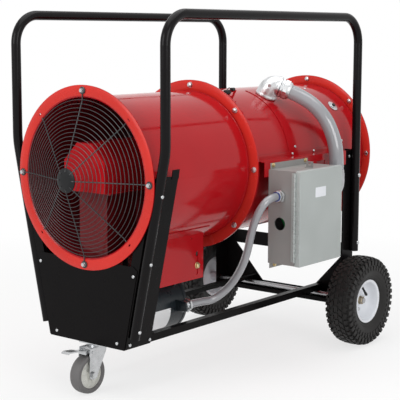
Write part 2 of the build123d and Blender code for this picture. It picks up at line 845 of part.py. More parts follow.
def make_motor_skirts():
    """Two hangers welded under the duct, slotted for belt tension."""
    drop = math.sqrt(duct_out ** 2 - skirt_x ** 2)
    wall = block(skirt_x - sheet, skirt_x, skirt_y0, skirt_y1, 268, axis_z - drop + 6)
    wall = wall - turned([(0, 50), (duct_out + 0.1, 50), (duct_out + 0.1, 400), (0, 400)])
    angle = math.degrees(math.asin(skirt_x / duct_out))
    fold = curved_sheet(duct_out + 0.1, duct_out + 0.1 + sheet, skirt_y0, skirt_y1,
                        180 - angle - 8.0, 180 - angle + 0.6)
    part = wall + fold
    x0 = skirt_x - 9
    x1 = skirt_x + 9
    for y in slot_y:
        part = part - block(x0, x1, y - 4.5, y + 4.5, slot_z0, slot_z1)
        part = part - rod((x0, y, slot_z0), (x1, y, slot_z0), 4.5)
        part = part - rod((x0, y, slot_z1), (x1, y, slot_z1), 4.5)
    part = part - rod((x0, 283, 380), (x1, 283, 380), 2.5)
    return both_sides(part)


def make_motor_plate():
    """Channel the motor hangs from, with its edges turned up."""
    x = skirt_x - sheet
    part = block(-x, x, plate_y0, plate_y1, plate_z, plate_z + plate_t)
    edge = block(x - plate_t, x, plate_y0, plate_y1, plate_z, plate_z + 50)
    for piece in both_sides(edge):
        part = part + piece
    for sx in (-1, 1):
        for y in slot_y:
            part = part - screw_hole((sx * (x - 9), y, 305), (sx * (x + 9), y, 305), 4.2)
        for y in foot_bolt_y:
            part = part - screw_hole((sx * foot_bolt_x, y, 270), (sx * foot_bolt_x, y, 290), 5.4)
    return part


def make_motor_shell():
    """Rolled stator shell with its welded foot, hung upside down."""
    y0 = motor_y0 + bell_len
    y1 = motor_y1 - rim_len
    shell = turned([(0, y0), (motor_r, y0), (motor_r, y1), (0, y1)], 0, motor_z)
    foot = block(-75, 75, y0 + 1, y1 - 14, plate_z - 4, plate_z)
    part = shell + foot
    for y in (y0 + 1, y1 - 24):
        part = part + polygon_xz([(-70, 279), (-58, 235), (58, 235), (70, 279)], y, y + 10)
    for sx in (-1, 1):
        for y in foot_bolt_y:
            part = part - screw_hole((sx * foot_bolt_x, y, 270), (sx * foot_bolt_x, y, 290), 5.4)
    return part - rod((0, y0 - 5, motor_z), (0, y0 + 7, motor_z), motor_shaft_r + 0.05)


def make_motor_end_bells():
    """Cast end bells of the motor."""
    r = motor_r + 1.0
    bore = motor_shaft_r + 0.05
    y0 = motor_y0
    y1 = motor_y0 + bell_len
    front = turned([
        (bore, y0), (24, y0), (28, y0 + 4), (58, y0 + 5), (66, y0 + 8), (r, y1 - 4), (r, y1),
        (bore, y1),
    ], 0, motor_z)
    y0 = motor_y1 - rim_len
    y1 = motor_y1
    back = turned([
        (0, y0), (r, y0), (r, y1), (r - 7, y1 + 7), (r - 22, y1 + 12), (24, y1 + 13),
        (22, y1 + 15), (0, y1 + 15),
    ], 0, motor_z)
    return [front, back]


def make_motor_bolts():
    """Foot bolts and slide bolts of the motor plate."""
    pieces = []
    top = plate_z + plate_t
    for sx in (-1, 1):
        for y in foot_bolt_y:
            pieces.append(hex_bolt((sx * foot_bolt_x, y, top), (0, 0, 1), 7, 5.0, 15, 6, 7, 2))
        for y in slot_y:
            pieces.append(hex_bolt((sx * skirt_x, y, 305), (sx, 0, 0), 5, 4.0, 14, 5, 6, 2))
    return pieces


def make_motor_conduit_box():
    """Small wiring boss on the motor's side."""
    x = conduit_x
    y = boss_y
    z = conduit_z
    part = block(x - 30, x + 14, y - 19, y, z - 16, z + 16)
    r = motor_r + 0.1
    part = part - turned([(0, y - 40), (r, y - 40), (r, y + 20), (0, y + 20)], 0, motor_z)
    return part - rod((x, y - 12, z), (x, y + 5, z), small_conduit_r)


def make_motor_shaft():
    """Shaft end of the motor."""
    return rod((0, sheave_y0 - 3, motor_z), (0, motor_y0 + bell_len + 5, motor_z), motor_shaft_r)


# ------------------------------------------------------------------
# Heater casing and what it carries
# ------------------------------------------------------------------
cover_y0 = 612.0
cover_y1 = 905.0
cover_a0 = 14.0
cover_a1 = 82.5
cover_r = duct_out + 0.2
reset_y = 928.0
reset_angle = 45.3
elbow_y = 655.0
elbow_angle = 26.4
bracket_screw_y = (625.0, 733.0, 825.0)
bracket_screw_z = 587.0
cover_screws = [(77.3, 645.6), (77.3, 892.0), (19.2, 740.0), (19.2, 892.0)]


def make_heater_casing():
    """Rear duct section with its flanges and the element opening."""
    a = duct_r
    b = duct_out
    y0 = housing_len
    y1 = casing_end
    part = turned([
        (a, y0), (flange_r, y0), (flange_r, y0 + flange_t), (b, y0 + flange_t), (b, y1 - flange_t),
        (end_flange_r, y1 - flange_t), (end_flange_r, y1), (a, y1),
    ])
    step = 360 / bolt_count
    angles = [step * k for k in range(bolt_count)]
    part = flange_holes(part, y0, angles)
    part = flange_holes(part, y1, angles)
    part = part - curved_sheet(a - 5, b + 5, cover_y0 + 22, cover_y1 - 22, cover_a0 + 5.0,
                               cover_a1 - 7.0)
    part = part - ride(reset_angle, rod((0, reset_y, a - 10), (0, reset_y, b + 10), 8.8))
    for angle, y in cover_screws:
        part = part - ride(angle, screw_hole((0, y, a - 10), (0, y, b + 10), 2.7))
    z = bracket_screw_z
    for y in bracket_screw_y:
        part = part - screw_hole((a - 25, y, z), (b + 15, y, z), 2.7)
    return part


def make_access_cover():
    """Curved cover over the element terminals."""
    part = curved_sheet(cover_r, cover_r + 1.5, cover_y0, cover_y1, cover_a0, cover_a1)
    r0 = cover_r - 20
    r1 = cover_r + 20
    part = part - ride(elbow_angle, rod((0, elbow_y, r0), (0, elbow_y, r1), 19.0))
    for angle, y in cover_screws:
        part = part - ride(angle, screw_hole((0, y, r0), (0, y, r1), 2.7))
    for y in bracket_screw_y:
        part = part - screw_hole((195, y, bracket_screw_z), (215, y, bracket_screw_z), 2.7)
    return part


def make_outlet_guard():
    """Coarse finger guard inside the outlet."""
    r = duct_r - 0.2
    back = casing_end - 10.0
    part = turned([(r - 2.5, back - 16), (r, back - 16), (r, back), (r - 2.5, back)])
    for radius in (40, 80, 120, 160):
        ring = [(radius - 2, back - 4), (radius, back - 8), (radius + 2, back - 4)]
        part = part + turned(ring)
    for k in range(4):
        part = part + ride(45 * k, block(-2, 2, back - 7, back - 2, -r + 1.2, r - 1.2))
    return part


rack_y0 = 650.0
rack_y1 = 850.0
rack_x = 160.0
rack_z0 = 430.0
rack_z1 = 690.0
element_rows = (490.0, 560.0, 630.0)
element_pairs = (690.0, 790.0)
element_r = 4.25
element_bend = 22.0


def make_element_rack():
    """Sheet frame that carries the heating elements across the duct."""
    part = None
    for sx, x in ((-1, -rack_x + 20), (1, rack_x)):
        wall = block(x - 1, x + 1, rack_y0, rack_y1, rack_z0, rack_z1)
        for z in element_rows:
            for y in element_pairs:
                for c in (y - element_bend, y + element_bend):
                    h = element_r + 0.3
                    wall = wall - block(x - 5, x + 5, c - h, c + h, z - h, z + h)
        part = wall if part is None else part + wall
    for z in (rack_z0, rack_z1 - 2):
        tie = block(-rack_x + 20, rack_x, rack_y0, rack_y0 + 18, z, z + 2)
        part = part + tie
        part = part + block(-rack_x + 20, rack_x, rack_y1 - 18, rack_y1, z, z + 2)
    keep = turned([(0, 600), (duct_r - 0.3, 600), (duct_r - 0.3, 900), (0, 900)])
    return part & keep


def make_heating_elements():
    """Hairpin tube elements with their terminal pins."""
    pieces = []
    x0 = rack_x + 8.0
    x1 = -rack_x + 52.0
    for z in element_rows:
        for y in element_pairs:
            b = element_bend
            points = [(x0, y - b, z), (x1 - b, y - b, z), (x1 - b, y + b, z), (x0, y + b, z)]
            pieces.append(flat_sided_wire(points, b - 0.01, element_r))
    return pieces


def make_flange_bolts():
    """Bolts of the middle flange joint and studs of the outlet flange."""
    pieces = []
    step = 360 / bolt_count
    for k in range(bolt_count):
        x, z = around(bolt_circle_r, step * k)
        pieces.append(hex_bolt((x, housing_len - flange_t, z), (0, -1, 0), 2 * flange_t))
        pieces.append(outlet_stud((x, casing_end - flange_t, z), (0, -1, 0), stud_out))
    for angle, y in cover_screws:
        x, z = around(cover_r + 1.7, angle)
        a = math.radians(angle)
        pieces.append(pan_screw((x, y, z), (math.sin(a), 0, math.cos(a)), 6.0))
    for y in bracket_screw_y:
        pieces.append(pan_screw((duct_out + 2.5, y, bracket_screw_z), (1, 0, 0), 6.0))
    return pieces


limit_angle = 28.0
limit_y = housing_len + 36.0
limit_r = 231.0


def make_limit_bracket():
    """Upright tab that carries the limit switch's leads."""
    y0 = limit_y
    y1 = limit_y + 22
    r = duct_out + 0.1
    tab = block(-0.75, 0.75, y0, y1, r, 235)
    foot = block(-0.75, 14, y0, y1, r, r + 1.5)
    hole = block(-5, 5, y0 + 6, y0 + 16, 218, 228)
    return ride(limit_angle, tab + foot - hole)


def make_limit_switch():
    """Limit switch body with its stiff lead loop."""
    y = limit_y
    body = rod((0, y - 21, limit_r), (0, y, limit_r), 6.5)
    cap = rod((0, y - 23.5, limit_r), (0, y - 21, limit_r), 4.0)
    points = [(0, y - 16, 236), (0, y - 16, 252), (0, y + 6, 252), (0, y + 6, 236.5)]
    return ride(limit_angle, body + cap + flat_sided_wire(points, 7.0, 1.5))


def make_reset_washer():
    """Threaded sleeve and washer of the reset button."""
    r = duct_out + 0.1
    washer = rod((0, reset_y, r), (0, reset_y, r + 2.2), 14.0)
    sleeve = rod((0, reset_y, r - 16), (0, reset_y, r + 4.0), 8.5)
    bore = rod((0, reset_y, r - 14), (0, reset_y, r + 10), 5.55)
    return ride(reset_angle, washer + sleeve - bore)


def make_reset_button():
    """Push button of the high-limit reset."""
    r = duct_out + 0.1
    body = rod((0, reset_y, r - 10), (0, reset_y, r + 7.5), 5.5)
    return ride(reset_angle, body)


# ------------------------------------------------------------------
# Control box
# ------------------------------------------------------------------
bracket_x = 248.0
bracket_y0 = housing_len + 7.0
bracket_y1 = 841.0
side_connector_z = 492.0
side_connector_x = 288.0
rear_connector_x = 286.0
rear_connector_z = 480.0
supply_x = 288.0
supply_z = 416.5
ear_holes = [(469.8, 571.0), (624.6, 571.9)]
low_holes = [(480.0, 298.0), (626.0, 298.0)]


def make_box_bracket():
    """Shelf bracket between the casing and the control box."""
    y0 = bracket_y0
    y1 = bracket_y1
    outer = block(bracket_x, box_x0, y0, y1, 541, 582)
    outer = outer - block(bracket_x - 5, box_x0 + 5, 685, 727, 540, 564)
    shelf = block(206.0, box_x0, y0, y1, 580, 582)
    inner = block(205.7, 207.5, y0, y1, 580, 594)
    part = outer + shelf + inner
    duct = turned([(0, 300), (duct_out + 0.2, 300), (duct_out + 0.2, 1000), (0, 1000)])
    part = part - duct
    for y in bracket_screw_y:
        part = part - screw_hole((195, y, bracket_screw_z), (215, y, bracket_screw_z), 2.7)
    for y, z in ear_holes:
        part = part - rod((240, y, z), (260, y, z), 3.3)
    r = flange_r + 3
    flange = turned([(0, y0 - 13), (r, y0 - 13), (r, y0 + 4), (0, y0 + 4)])
    return part - flange


def make_control_box():
    """Control box body with mounting ears and conduit holes."""
    t = box_t
    shell = block(box_x0, box_x1, box_y0, box_y1, box_z0, box_z1)
    shell = shell - block(box_x0 + t, box_x1 + 5, box_y0 + t, box_y1 - t, box_z0 + t, box_z1 - t)
    frame = block(box_x1 - t, box_x1, box_y0, box_y1, box_z0, box_z1)
    frame = frame - block(box_x1 - 9, box_x1 + 9, box_y0 + 9, box_y1 - 9, box_z0 + 9, box_z1 - 9)
    ear = block(box_x0, box_x0 + t, 458, 637, box_z1 - 1, 577)
    low = block(box_x0, box_x0 + t, 458, 648, 290, box_z0 + 1)
    part = shell + frame + ear + low
    for y, z in ear_holes + low_holes:
        part = part - rod((box_x0 - 5, y, z), (box_x0 + 9, y, z), 3.3)
    part = part - rod((supply_x, box_y0 - 5, supply_z), (supply_x, box_y0 + 5, supply_z), knockout_r)
    z = side_connector_z
    x = side_connector_x
    part = part - rod((x, box_y0 - 5, z), (x, box_y0 + 5, z), 11.1)
    z = rear_connector_z
    x = rear_connector_x
    part = part - rod((x, box_y1 - 5, z), (x, box_y1 + 5, z), 21.1)
    hasp = block(300, 322, 556, 558, box_z1 - 0.5, 578) + block(300, 322, 550, 558, box_z1 - 0.5,
                                                               box_z1 + 1.5)
    hasp = hasp - rod((311, 540, 571), (311, 570, 571), 4.0)
    return part + hasp


def make_box_hinge():
    """Fixed hinge knuckles on the box's front edge."""
    pieces = []
    for z in hinge_z:
        for dz in (-24.0, 8.0):
            barrel = Pos(hinge_x, hinge_y, z + dz) * Cylinder(
                hinge_r, 16, align=(Align.CENTER, Align.CENTER, Align.MIN)
            )
            leaf = block(hinge_x - 7, hinge_x - 1.0, hinge_y + 1.5, box_y0, z + dz, z + dz + 16)
            low = (hinge_x, hinge_y, z - 40)
            bore = rod(low, (hinge_x, hinge_y, z + 40), hinge_pin_r + 0.05)
            pieces.append(barrel + leaf - bore)
    return pieces


def make_box_door():
    """Pan door with its hinge pins and edge lips."""
    t = box_t
    lap = 1.5
    y0 = box_y0 - lap
    y1 = box_y1 + lap
    z0 = box_z0 - lap
    z1 = box_z1 + lap
    back = box_x1 + 0.6
    pan = block(back, door_x1, y0, y1, z0, z1)
    pan = pan - block(back - 5, door_x1 - t, y0 + t, y1 - t, z0 + t, z1 - t)
    part = pan
    for z in hinge_z:
        pin = Pos(hinge_x, hinge_y, z - 24) * Cylinder(
            hinge_pin_r, 48, align=(Align.CENTER, Align.CENTER, Align.MIN)
        )
        barrel = Pos(hinge_x, hinge_y, z - 7.6) * Cylinder(
            hinge_r, 15.2, align=(Align.CENTER, Align.CENTER, Align.MIN)
        )
        leaf = block(hinge_x, door_x1 - 6, hinge_y - 1.2, hinge_y + 0.4, z - 7.6, z + 7.6)
        lug = block(door_x1 - 8, door_x1 - 6, hinge_y - 1.2, y0 + 0.5, z - 7.6, z + 7.6)
        part = part + pin + barrel + leaf + lug
    return part


def make_contactor():
    """Contactor on the box's back wall."""
    x = box_x0 + box_t
    body = block(x, x + 52, 490, 550, 430, 505)
    top = block(x + 52, x + 60, 500, 540, 445, 490)
    part = body + top
    for y in (500, 520, 540):
        part = part - block(x + 30, x + 60, y - 4, y + 4, 429, 442)
        part = part - block(x + 30, x + 60, y - 4, y + 4, 493, 506)
    return part


def make_terminal_block():
    """Supply terminal block low in the box."""
    x = box_x0 + box_t
    part = block(x, x + 34, 490, 610, 340, 375)
    for y in (505, 535, 565, 595):
        part = part - block(x + 14, x + 40, y - 8, y + 8, 346, 369)
    return part


def make_ground_wire():
    """Green bonding wire behind the supply opening."""
    x = box_x0 + box_t
    points = [(x + 6, 484, 340), (x + 24, 482, 372), (x + 34, 480, 408), (x + 16, 480, 440)]
    wire = flat_sided_wire(points, 14.0, 2.2)
    lug = rod((x, 484, 336), (x + 8, 484, 336), 5.0)
    top = rod((x, 480, 443), (x + 20, 480, 443), 4.0)
    return wire + lug + top


# ------------------------------------------------------------------
# Conduits and their connectors
# ------------------------------------------------------------------
def direction(angle, turn):
    """Horizontal-ish direction on the casing: along the surface and to the rear."""
    a = math.radians(angle)
    t = math.radians(turn)
    return Vector(math.cos(a) * math.cos(t), math.sin(t), -math.sin(a) * math.cos(t))


elbow_height = 40.0
elbow_reach = 60.0
elbow_turn = 28.0
elbow_base_x, elbow_base_z = around(cover_r + 1.6, elbow_angle)
elbow_up = Vector(math.sin(math.radians(elbow_angle)), 0, math.cos(math.radians(elbow_angle)))
elbow_out = direction(elbow_angle, elbow_turn)
elbow_mid = Vector(elbow_base_x, elbow_y, elbow_base_z) + elbow_up * elbow_height
elbow_exit = elbow_mid + elbow_out * elbow_reach
power_points = [
    tuple(elbow_exit),
    tuple(elbow_exit + elbow_out * 36.0),
    (222.0, 715.0, 718.0),
    (255.0, 725.5, 679.0),
    (277.0, 730.7, 628.5),
    (286.0, 733.0, 583.0),
    (286.0, 733.0, 538.0),
]
motor_points = [
    (100.0, 298.0, 195.0),
    (100.0, 343.0, 195.0),
    (113.0, 390.0, 193.0),
    (150.0, 424.0, 236.0),
    (215.0, 401.0, 320.0),
    (255.0, 373.0, 420.0),
    (288.0, 386.0, 492.0),
    (288.0, 431.0, 492.0),
]


def make_elbow_fitting():
    """Right-angle conduit fitting on the casing: saddle base, dome, hub and nut."""
    base = turn_to((elbow_base_x, elbow_y, elbow_base_z), elbow_up, Cylinder(
        32.5, 8, align=(Align.CENTER, Align.CENTER, Align.MIN)))
    neck = turn_to((elbow_base_x, elbow_y, elbow_base_z), elbow_up, Cylinder(
        28.0, elbow_height, align=(Align.CENTER, Align.CENTER, Align.MIN)))
    dome = Pos(*tuple(elbow_mid)) * Sphere(28.0)
    a = elbow_mid
    hub = rod(tuple(a), tuple(a + elbow_out * 42), 27.0)
    nut = turn_to(tuple(a + elbow_out * 36), elbow_out, hexagon(56.0, 0, 18))
    tail = rod(tuple(a + elbow_out * 50), tuple(elbow_exit), 25.0)
    part = base + neck + dome + hub + nut + tail
    stub = turn_to((elbow_base_x, elbow_y, elbow_base_z), elbow_up, Pos(0, 0, -12) * Cylinder(
        18.5, 14, align=(Align.CENTER, Align.CENTER, Align.MIN)))
    return part + stub


def gland(origin, out, radius, depth=8.0, across=32.0):
    """Straight conduit gland: threaded stub, hexagon and compression nut."""
    o = Vector(*origin)
    d = Vector(*out)
    part = turn_to(tuple(o), d, hexagon(across, 0, depth))
    body = rod(tuple(o), tuple(o + d * 20.4), radius + 2.6)
    return part + body


def make_box_side_connector():
    """Gland on the box's front wall for the motor conduit."""
    x = side_connector_x
    z = side_connector_z
    body = gland((x, box_y0, z), (0, -1, 0), small_conduit_r)
    stub = rod((x, box_y0 - 1, z), (x, box_y0 + 14, z), 11.0)
    lock = turn_to((x, box_y0 + box_t + 0.02, z), (0, 1, 0), hexagon(31, 0, 4))
    return body + stub + lock


def make_motor_connector():
    """Gland on the motor's wiring boss."""
    x = conduit_x
    y = boss_y
    z = conduit_z
    body = turn_to((x, y, z), (0, 1, 0), hexagon(30, 0, 6))
    tail = rod((x, y, z), (x, y + 13, z), small_conduit_r + 2.2)
    stub = rod((x, y - 11, z), (x, y + 1, z), 10.5)
    return body + tail + stub


def make_box_rear_connector():
    """Right-angle gland on the box's rear wall, turned up."""
    x = rear_connector_x
    z = rear_connector_z
    y0 = box_y1
    yc = power_points[-1][1]
    top = power_points[-1][2]
    stub = rod((x, y0 - 12, z), (x, y0 + 1, z), 21.0)
    lock = turn_to((x, y0 - box_t - 0.02, z), (0, -1, 0), hexagon(56, 0, 5))
    base = turn_to((x, y0, z), (0, 1, 0), hexagon(56, 0, 10))
    flat = rod((x, y0, z), (x, yc, z), 22.5)
    ball = Pos(x, yc, z) * Sphere(25.0)
    rise = rod((x, yc, z), (x, yc, top), 24.0)
    nut = turn_to((x, yc, top - 26), (0, 0, 1), hexagon(54, 0, 18))
    return stub + lock + base + flat + ball + rise + nut


def make_power_conduit():
    """Large conduit from the casing's elbow to the box's rear gland."""
    radii = bend_radii(power_points)
    tube, path = swept_tube(power_points, radii, large_conduit_r, 0)
    print("power conduit radii", [round(r, 1) for r in radii], "length", round(path.length, 1))
    section = math.pi * large_conduit_r ** 2
    print("power conduit volume ratio", round(tube.volume / (section * path.length), 4))
    return tube


def make_motor_conduit():
    """Small conduit from the motor's wiring boss to the box's front gland."""
    radii = bend_radii(motor_points)
    tube, path = swept_tube(motor_points, radii, small_conduit_r, 0)
    print("motor conduit radii", [round(r, 1) for r in radii], "length", round(path.length, 1))
    section = math.pi * small_conduit_r ** 2
    print("motor conduit volume ratio", round(tube.volume / (section * path.length), 4))
    return tube


# ------------------------------------------------------------------
# Build and export
# ------------------------------------------------------------------
def mirrored(shape):
    """Left-hand copy of a right-hand piece."""
    return mirror(shape, about=Plane.YZ)


nodes = {}
hoop = make_hoop()
nodes["hoop_right"] = hoop
nodes["hoop_left"] = mirrored(hoop)
nodes["front_panel"] = make_front_panel()
side = make_side_plate()
nodes["side_plate_right"] = side
nodes["side_plate_left"] = mirrored(side)
nodes["rear_panel"] = make_rear_panel()
rail = make_rail()
nodes["rail_right"] = rail
nodes["rail_left"] = mirrored(rail)
nodes["wheel_axle"] = make_wheel_axle()
nodes["axle_collars"] = make_axle_collars()
nodes["frame_screws"] = make_frame_screws()
nodes["fan_housing"] = make_fan_housing()
nodes["inlet_guard"] = make_inlet_guard()
nodes["guard_bolts"] = make_guard_bolts()
nodes["drive_hood"] = make_drive_hood()
nodes["bearing_base"] = make_bearing_base()
nodes["bearing_blocks"] = make_bearing_blocks()
nodes["motor_skirts"] = make_motor_skirts()
nodes["motor_plate"] = make_motor_plate()
nodes["motor_shell"] = make_motor_shell()
nodes["motor_end_bells"] = make_motor_end_bells()
nodes["motor_bolts"] = make_motor_bolts()
nodes["motor_conduit_box"] = make_motor_conduit_box()
nodes["heater_casing"] = make_heater_casing()
nodes["access_cover"] = make_access_cover()
nodes["element_rack"] = make_element_rack()
nodes["heating_elements"] = make_heating_elements()
nodes["outlet_guard"] = make_outlet_guard()
nodes["flange_bolts"] = make_flange_bolts()
nodes["limit_bracket"] = make_limit_bracket()
nodes["limit_switch"] = make_limit_switch()
nodes["reset_washer"] = make_reset_washer()
nodes["box_bracket"] = make_box_bracket()
nodes["control_box"] = make_control_box()
nodes["box_hinge"] = make_box_hinge()
nodes["contactor"] = make_contactor()
nodes["terminal_block"] = make_terminal_block()
nodes["ground_wire"] = make_ground_wire()
nodes["elbow_fitting"] = make_elbow_fitting()
nodes["box_side_connector"] = make_box_side_connector()
nodes["box_rear_connector"] = make_box_rear_connector()
nodes["motor_connector"] = make_motor_connector()
nodes["power_conduit"] = make_power_conduit()
nodes["motor_conduit"] = make_motor_conduit()
nodes["v_belt"] = make_v_belt()
nodes["caster_plate"] = make_caster_plate()
nodes["fan_shaft"] = make_fan_shaft()
nodes["impeller"] = make_impeller()
nodes["fan_sheave"] = sheave(fan_sheave_r, shaft_r, axis_z)
nodes["motor_shaft"] = make_motor_shaft()
nodes["motor_sheave"] = sheave(motor_sheave_r, motor_shaft_r, motor_z)
nodes["box_door"] = make_box_door()
wheel = make_wheel()
tyre = make_tyre()
nodes["wheel_right"] = wheel
nodes["tyre_right"] = tyre
nodes["wheel_left"] = mirrored(wheel)
nodes["tyre_left"] = mirrored(tyre)
nodes["caster_fork"] = make_caster_fork()
nodes["caster_wheel"] = make_caster_wheel()
nodes["caster_brake"] = make_caster_brake()
nodes["reset_button"] = make_reset_button()

print("y shift", -mid_length)
for name, shape in nodes.items():
    if isinstance(shape, list):
        shape = Compound(children=[Pos(0, -mid_length, 0) * item for item in shape])
    else:
        shape = Pos(0, -mid_length, 0) * shape
    shape.label = name
    export_step(shape, "parts/" + name + ".step")
print(len(nodes), "nodes")
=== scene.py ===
import json
from math import cos, pi, radians, sin

import bmesh
import bpy
from mathutils import Matrix, Vector


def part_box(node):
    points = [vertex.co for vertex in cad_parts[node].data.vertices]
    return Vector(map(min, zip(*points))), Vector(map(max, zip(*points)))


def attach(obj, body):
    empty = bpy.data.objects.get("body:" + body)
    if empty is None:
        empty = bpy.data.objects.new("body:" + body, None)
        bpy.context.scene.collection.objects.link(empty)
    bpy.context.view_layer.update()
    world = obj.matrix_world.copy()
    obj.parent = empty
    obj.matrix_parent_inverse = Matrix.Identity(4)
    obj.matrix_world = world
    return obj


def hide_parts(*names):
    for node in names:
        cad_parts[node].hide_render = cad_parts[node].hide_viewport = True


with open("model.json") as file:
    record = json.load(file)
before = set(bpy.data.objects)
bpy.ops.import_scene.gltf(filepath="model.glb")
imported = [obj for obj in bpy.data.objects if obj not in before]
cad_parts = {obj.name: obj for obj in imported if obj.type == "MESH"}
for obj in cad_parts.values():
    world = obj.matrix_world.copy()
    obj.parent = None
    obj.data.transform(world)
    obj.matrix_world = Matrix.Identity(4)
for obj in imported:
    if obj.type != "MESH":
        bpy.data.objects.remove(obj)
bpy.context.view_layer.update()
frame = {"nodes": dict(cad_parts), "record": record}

# ---- Places on the heater ----
# In metres. y is counted from the front face of the front flange.
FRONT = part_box("fan_housing")[0].y


def place(x, y, z):
    """A point of the heater, with y counted from the front flange."""
    return Vector((x, y + FRONT, z))


def span(node):
    """Low and high corners of a node's box, with y counted from the front flange."""
    return [Vector(corner) - place(0, 0, 0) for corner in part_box(node)]


def middle(node):
    """Middle of a node's box, with y counted from the front flange."""
    low, high = span(node)
    return (low + high) / 2


AXIS_Z = middle("fan_housing").z
DUCT_R = 0.2052
FLANGE_LIP = 0.2346               # outer radius of the lit flange faces
FLANGE_T = 0.0025
BOLT_CIRCLE = 0.221
HOUSING_LEN = span("fan_housing")[1].y
CASING_END = span("heater_casing")[1].y
AXLE_Y, AXLE_Z = middle("wheel_axle").yz
WHEEL_X = middle("wheel_right").x
MOTOR_Z = middle("motor_end_bells").z
MOTOR_R = span("motor_shell")[1].x
CASTER_Y = 0.005
CASTER_Z = 0.051
LARGE_CONDUIT_R = 0.02075
SMALL_CONDUIT_R = 0.01065


# ---- Node groups shared by the finishes ----
MIX_FACTOR, MIX_FIRST, MIX_SECOND, MIX_RESULT = 0, 6, 7, 2    # colour sockets of a Mix node
MASK_OUTPUT = (("Mask", "NodeSocketFloat"),)
SKIN_OUTPUTS = (("Colour", "NodeSocketColor"), ("Roughness", "NodeSocketFloat"),
                ("Normal", "NodeSocketVector"))


def new_group(name, inputs, outputs):
    """Empty node group with number and colour inputs and named outputs."""
    tree = bpy.data.node_groups.new(name, "ShaderNodeTree")
    for label, value in inputs.items():
        kind = "NodeSocketColor" if isinstance(value, tuple) else "NodeSocketFloat"
        tree.interface.new_socket(label, in_out="INPUT", socket_type=kind).default_value = value
    for label, kind in outputs:
        tree.interface.new_socket(label, in_out="OUTPUT", socket_type=kind)
    return tree, tree.nodes.new("NodeGroupInput"), tree.nodes.new("NodeGroupOutput")


def feed(tree, socket, value):
    """Set an input to a number or colour, or link another node's output to it."""
    if isinstance(value, (int, float, tuple)):
        socket.default_value = value
    else:
        tree.links.new(value, socket)


def math_node(tree, kind, first, second=0.0, clamp=False):
    """Math node whose inputs are sockets or numbers."""
    node = tree.nodes.new("ShaderNodeMath")
    node.operation = kind
    node.use_clamp = clamp
    feed(tree, node.inputs[0], first)
    feed(tree, node.inputs[1], second)
    return node.outputs[0]


def blend_colours(tree, factor, first, second, mode="MIX"):
    """Colour mix whose inputs are sockets or colours."""
    node = tree.nodes.new("ShaderNodeMix")
    node.data_type = "RGBA"
    node.blend_type = mode
    feed(tree, node.inputs[MIX_FACTOR], factor)
    feed(tree, node.inputs[MIX_FIRST], first)
    feed(tree, node.inputs[MIX_SECOND], second)
    return node.outputs[MIX_RESULT]


def noise(tree, scale, detail, rough=0.55):
    """Noise over the object's own coordinates."""
    coords = tree.nodes.new("ShaderNodeTexCoord")
    node = tree.nodes.new("ShaderNodeTexNoise")
    tree.links.new(coords.outputs["Object"], node.inputs["Vector"])
    feed(tree, node.inputs["Scale"], scale)
    node.inputs["Detail"].default_value = detail
    node.inputs["Roughness"].default_value = rough
    return node.outputs["Fac"]


def ranged(tree, value, low, high, to_low=0.0, to_high=1.0):
    """Map a value from one range to another, clamped."""
    node = tree.nodes.new("ShaderNodeMapRange")
    for label, number in (("From Min", low), ("From Max", high), ("To Min", to_low),
                          ("To Max", to_high)):
        node.inputs[label].default_value = number
    tree.links.new(value, node.inputs["Value"])
    return node.outputs["Result"]


def finish_skin(tree, given, out, tone, patch, strength, relief, depth):
    """Carry tone, uneven gloss and relief to the outputs of a skin group."""
    grey = tree.nodes.new("ShaderNodeCombineColor")
    for index in range(3):
        tree.links.new(tone, grey.inputs[index])
    colour = blend_colours(tree, 1.0, given.outputs["Colour"], grey.outputs[0], "MULTIPLY")
    tree.links.new(colour, out.inputs["Colour"])
    rough = math_node(tree, "ADD", given.outputs["Roughness"], patch, True)
    tree.links.new(rough, out.inputs["Roughness"])
    bump = tree.nodes.new("ShaderNodeBump")
    bump.inputs["Distance"].default_value = depth
    tree.links.new(strength, bump.inputs["Strength"])
    tree.links.new(relief, bump.inputs["Height"])
    tree.links.new(bump.outputs["Normal"], out.inputs["Normal"])


def paint_skin_group():
    """Sprayed enamel: slight tone drift, uneven gloss, orange peel."""
    tree, given, out = new_group(
        "Sprayed enamel", {"Colour": (0.5, 0.5, 0.5, 1), "Roughness": 0.3, "Peel": 0.05},
        SKIN_OUTPUTS)
    tone = ranged(tree, noise(tree, 4.0, 2.0), 0.3, 0.7, 0.9, 1.1)
    patch = ranged(tree, noise(tree, 26.0, 4.0), 0.35, 0.7, -0.04, 0.06)
    finish_skin(tree, given, out, tone, patch, given.outputs["Peel"], noise(tree, 330.0, 1.0),
                0.0006)
    return tree


def metal_grain_group():
    """Fine grain and soft clouds of plated or cast metal."""
    tree, given, out = new_group(
        "Metal grain",
        {"Colour": (0.7, 0.7, 0.7, 1), "Roughness": 0.3, "Grain": 400.0, "Depth": 0.1},
        SKIN_OUTPUTS)
    cloud = noise(tree, 45.0, 3.0)
    tone = ranged(tree, cloud, 0.3, 0.7, 0.82, 1.12)
    patch = ranged(tree, cloud, 0.3, 0.7, -0.06, 0.1)
    finish_skin(tree, given, out, tone, patch, given.outputs["Depth"],
                noise(tree, given.outputs["Grain"], 2.0), 0.0004)
    return tree


def settled_dust_group():
    """Dust on faces that look up, in soft patches."""
    tree, given, out = new_group("Settled dust", {"Amount": 0.3}, MASK_OUTPUT)
    geometry = tree.nodes.new("ShaderNodeNewGeometry")
    split = tree.nodes.new("ShaderNodeSeparateXYZ")
    tree.links.new(geometry.outputs["Normal"], split.inputs[0])
    up = ranged(tree, split.outputs["Z"], 0.35, 1.0)
    patch = ranged(tree, noise(tree, 18.0, 5.0, 0.65), 0.35, 0.75)
    mask = math_node(tree, "MULTIPLY", up, patch)
    tree.links.new(math_node(tree, "MULTIPLY", mask, given.outputs["Amount"], True),
                   out.inputs["Mask"])
    return tree


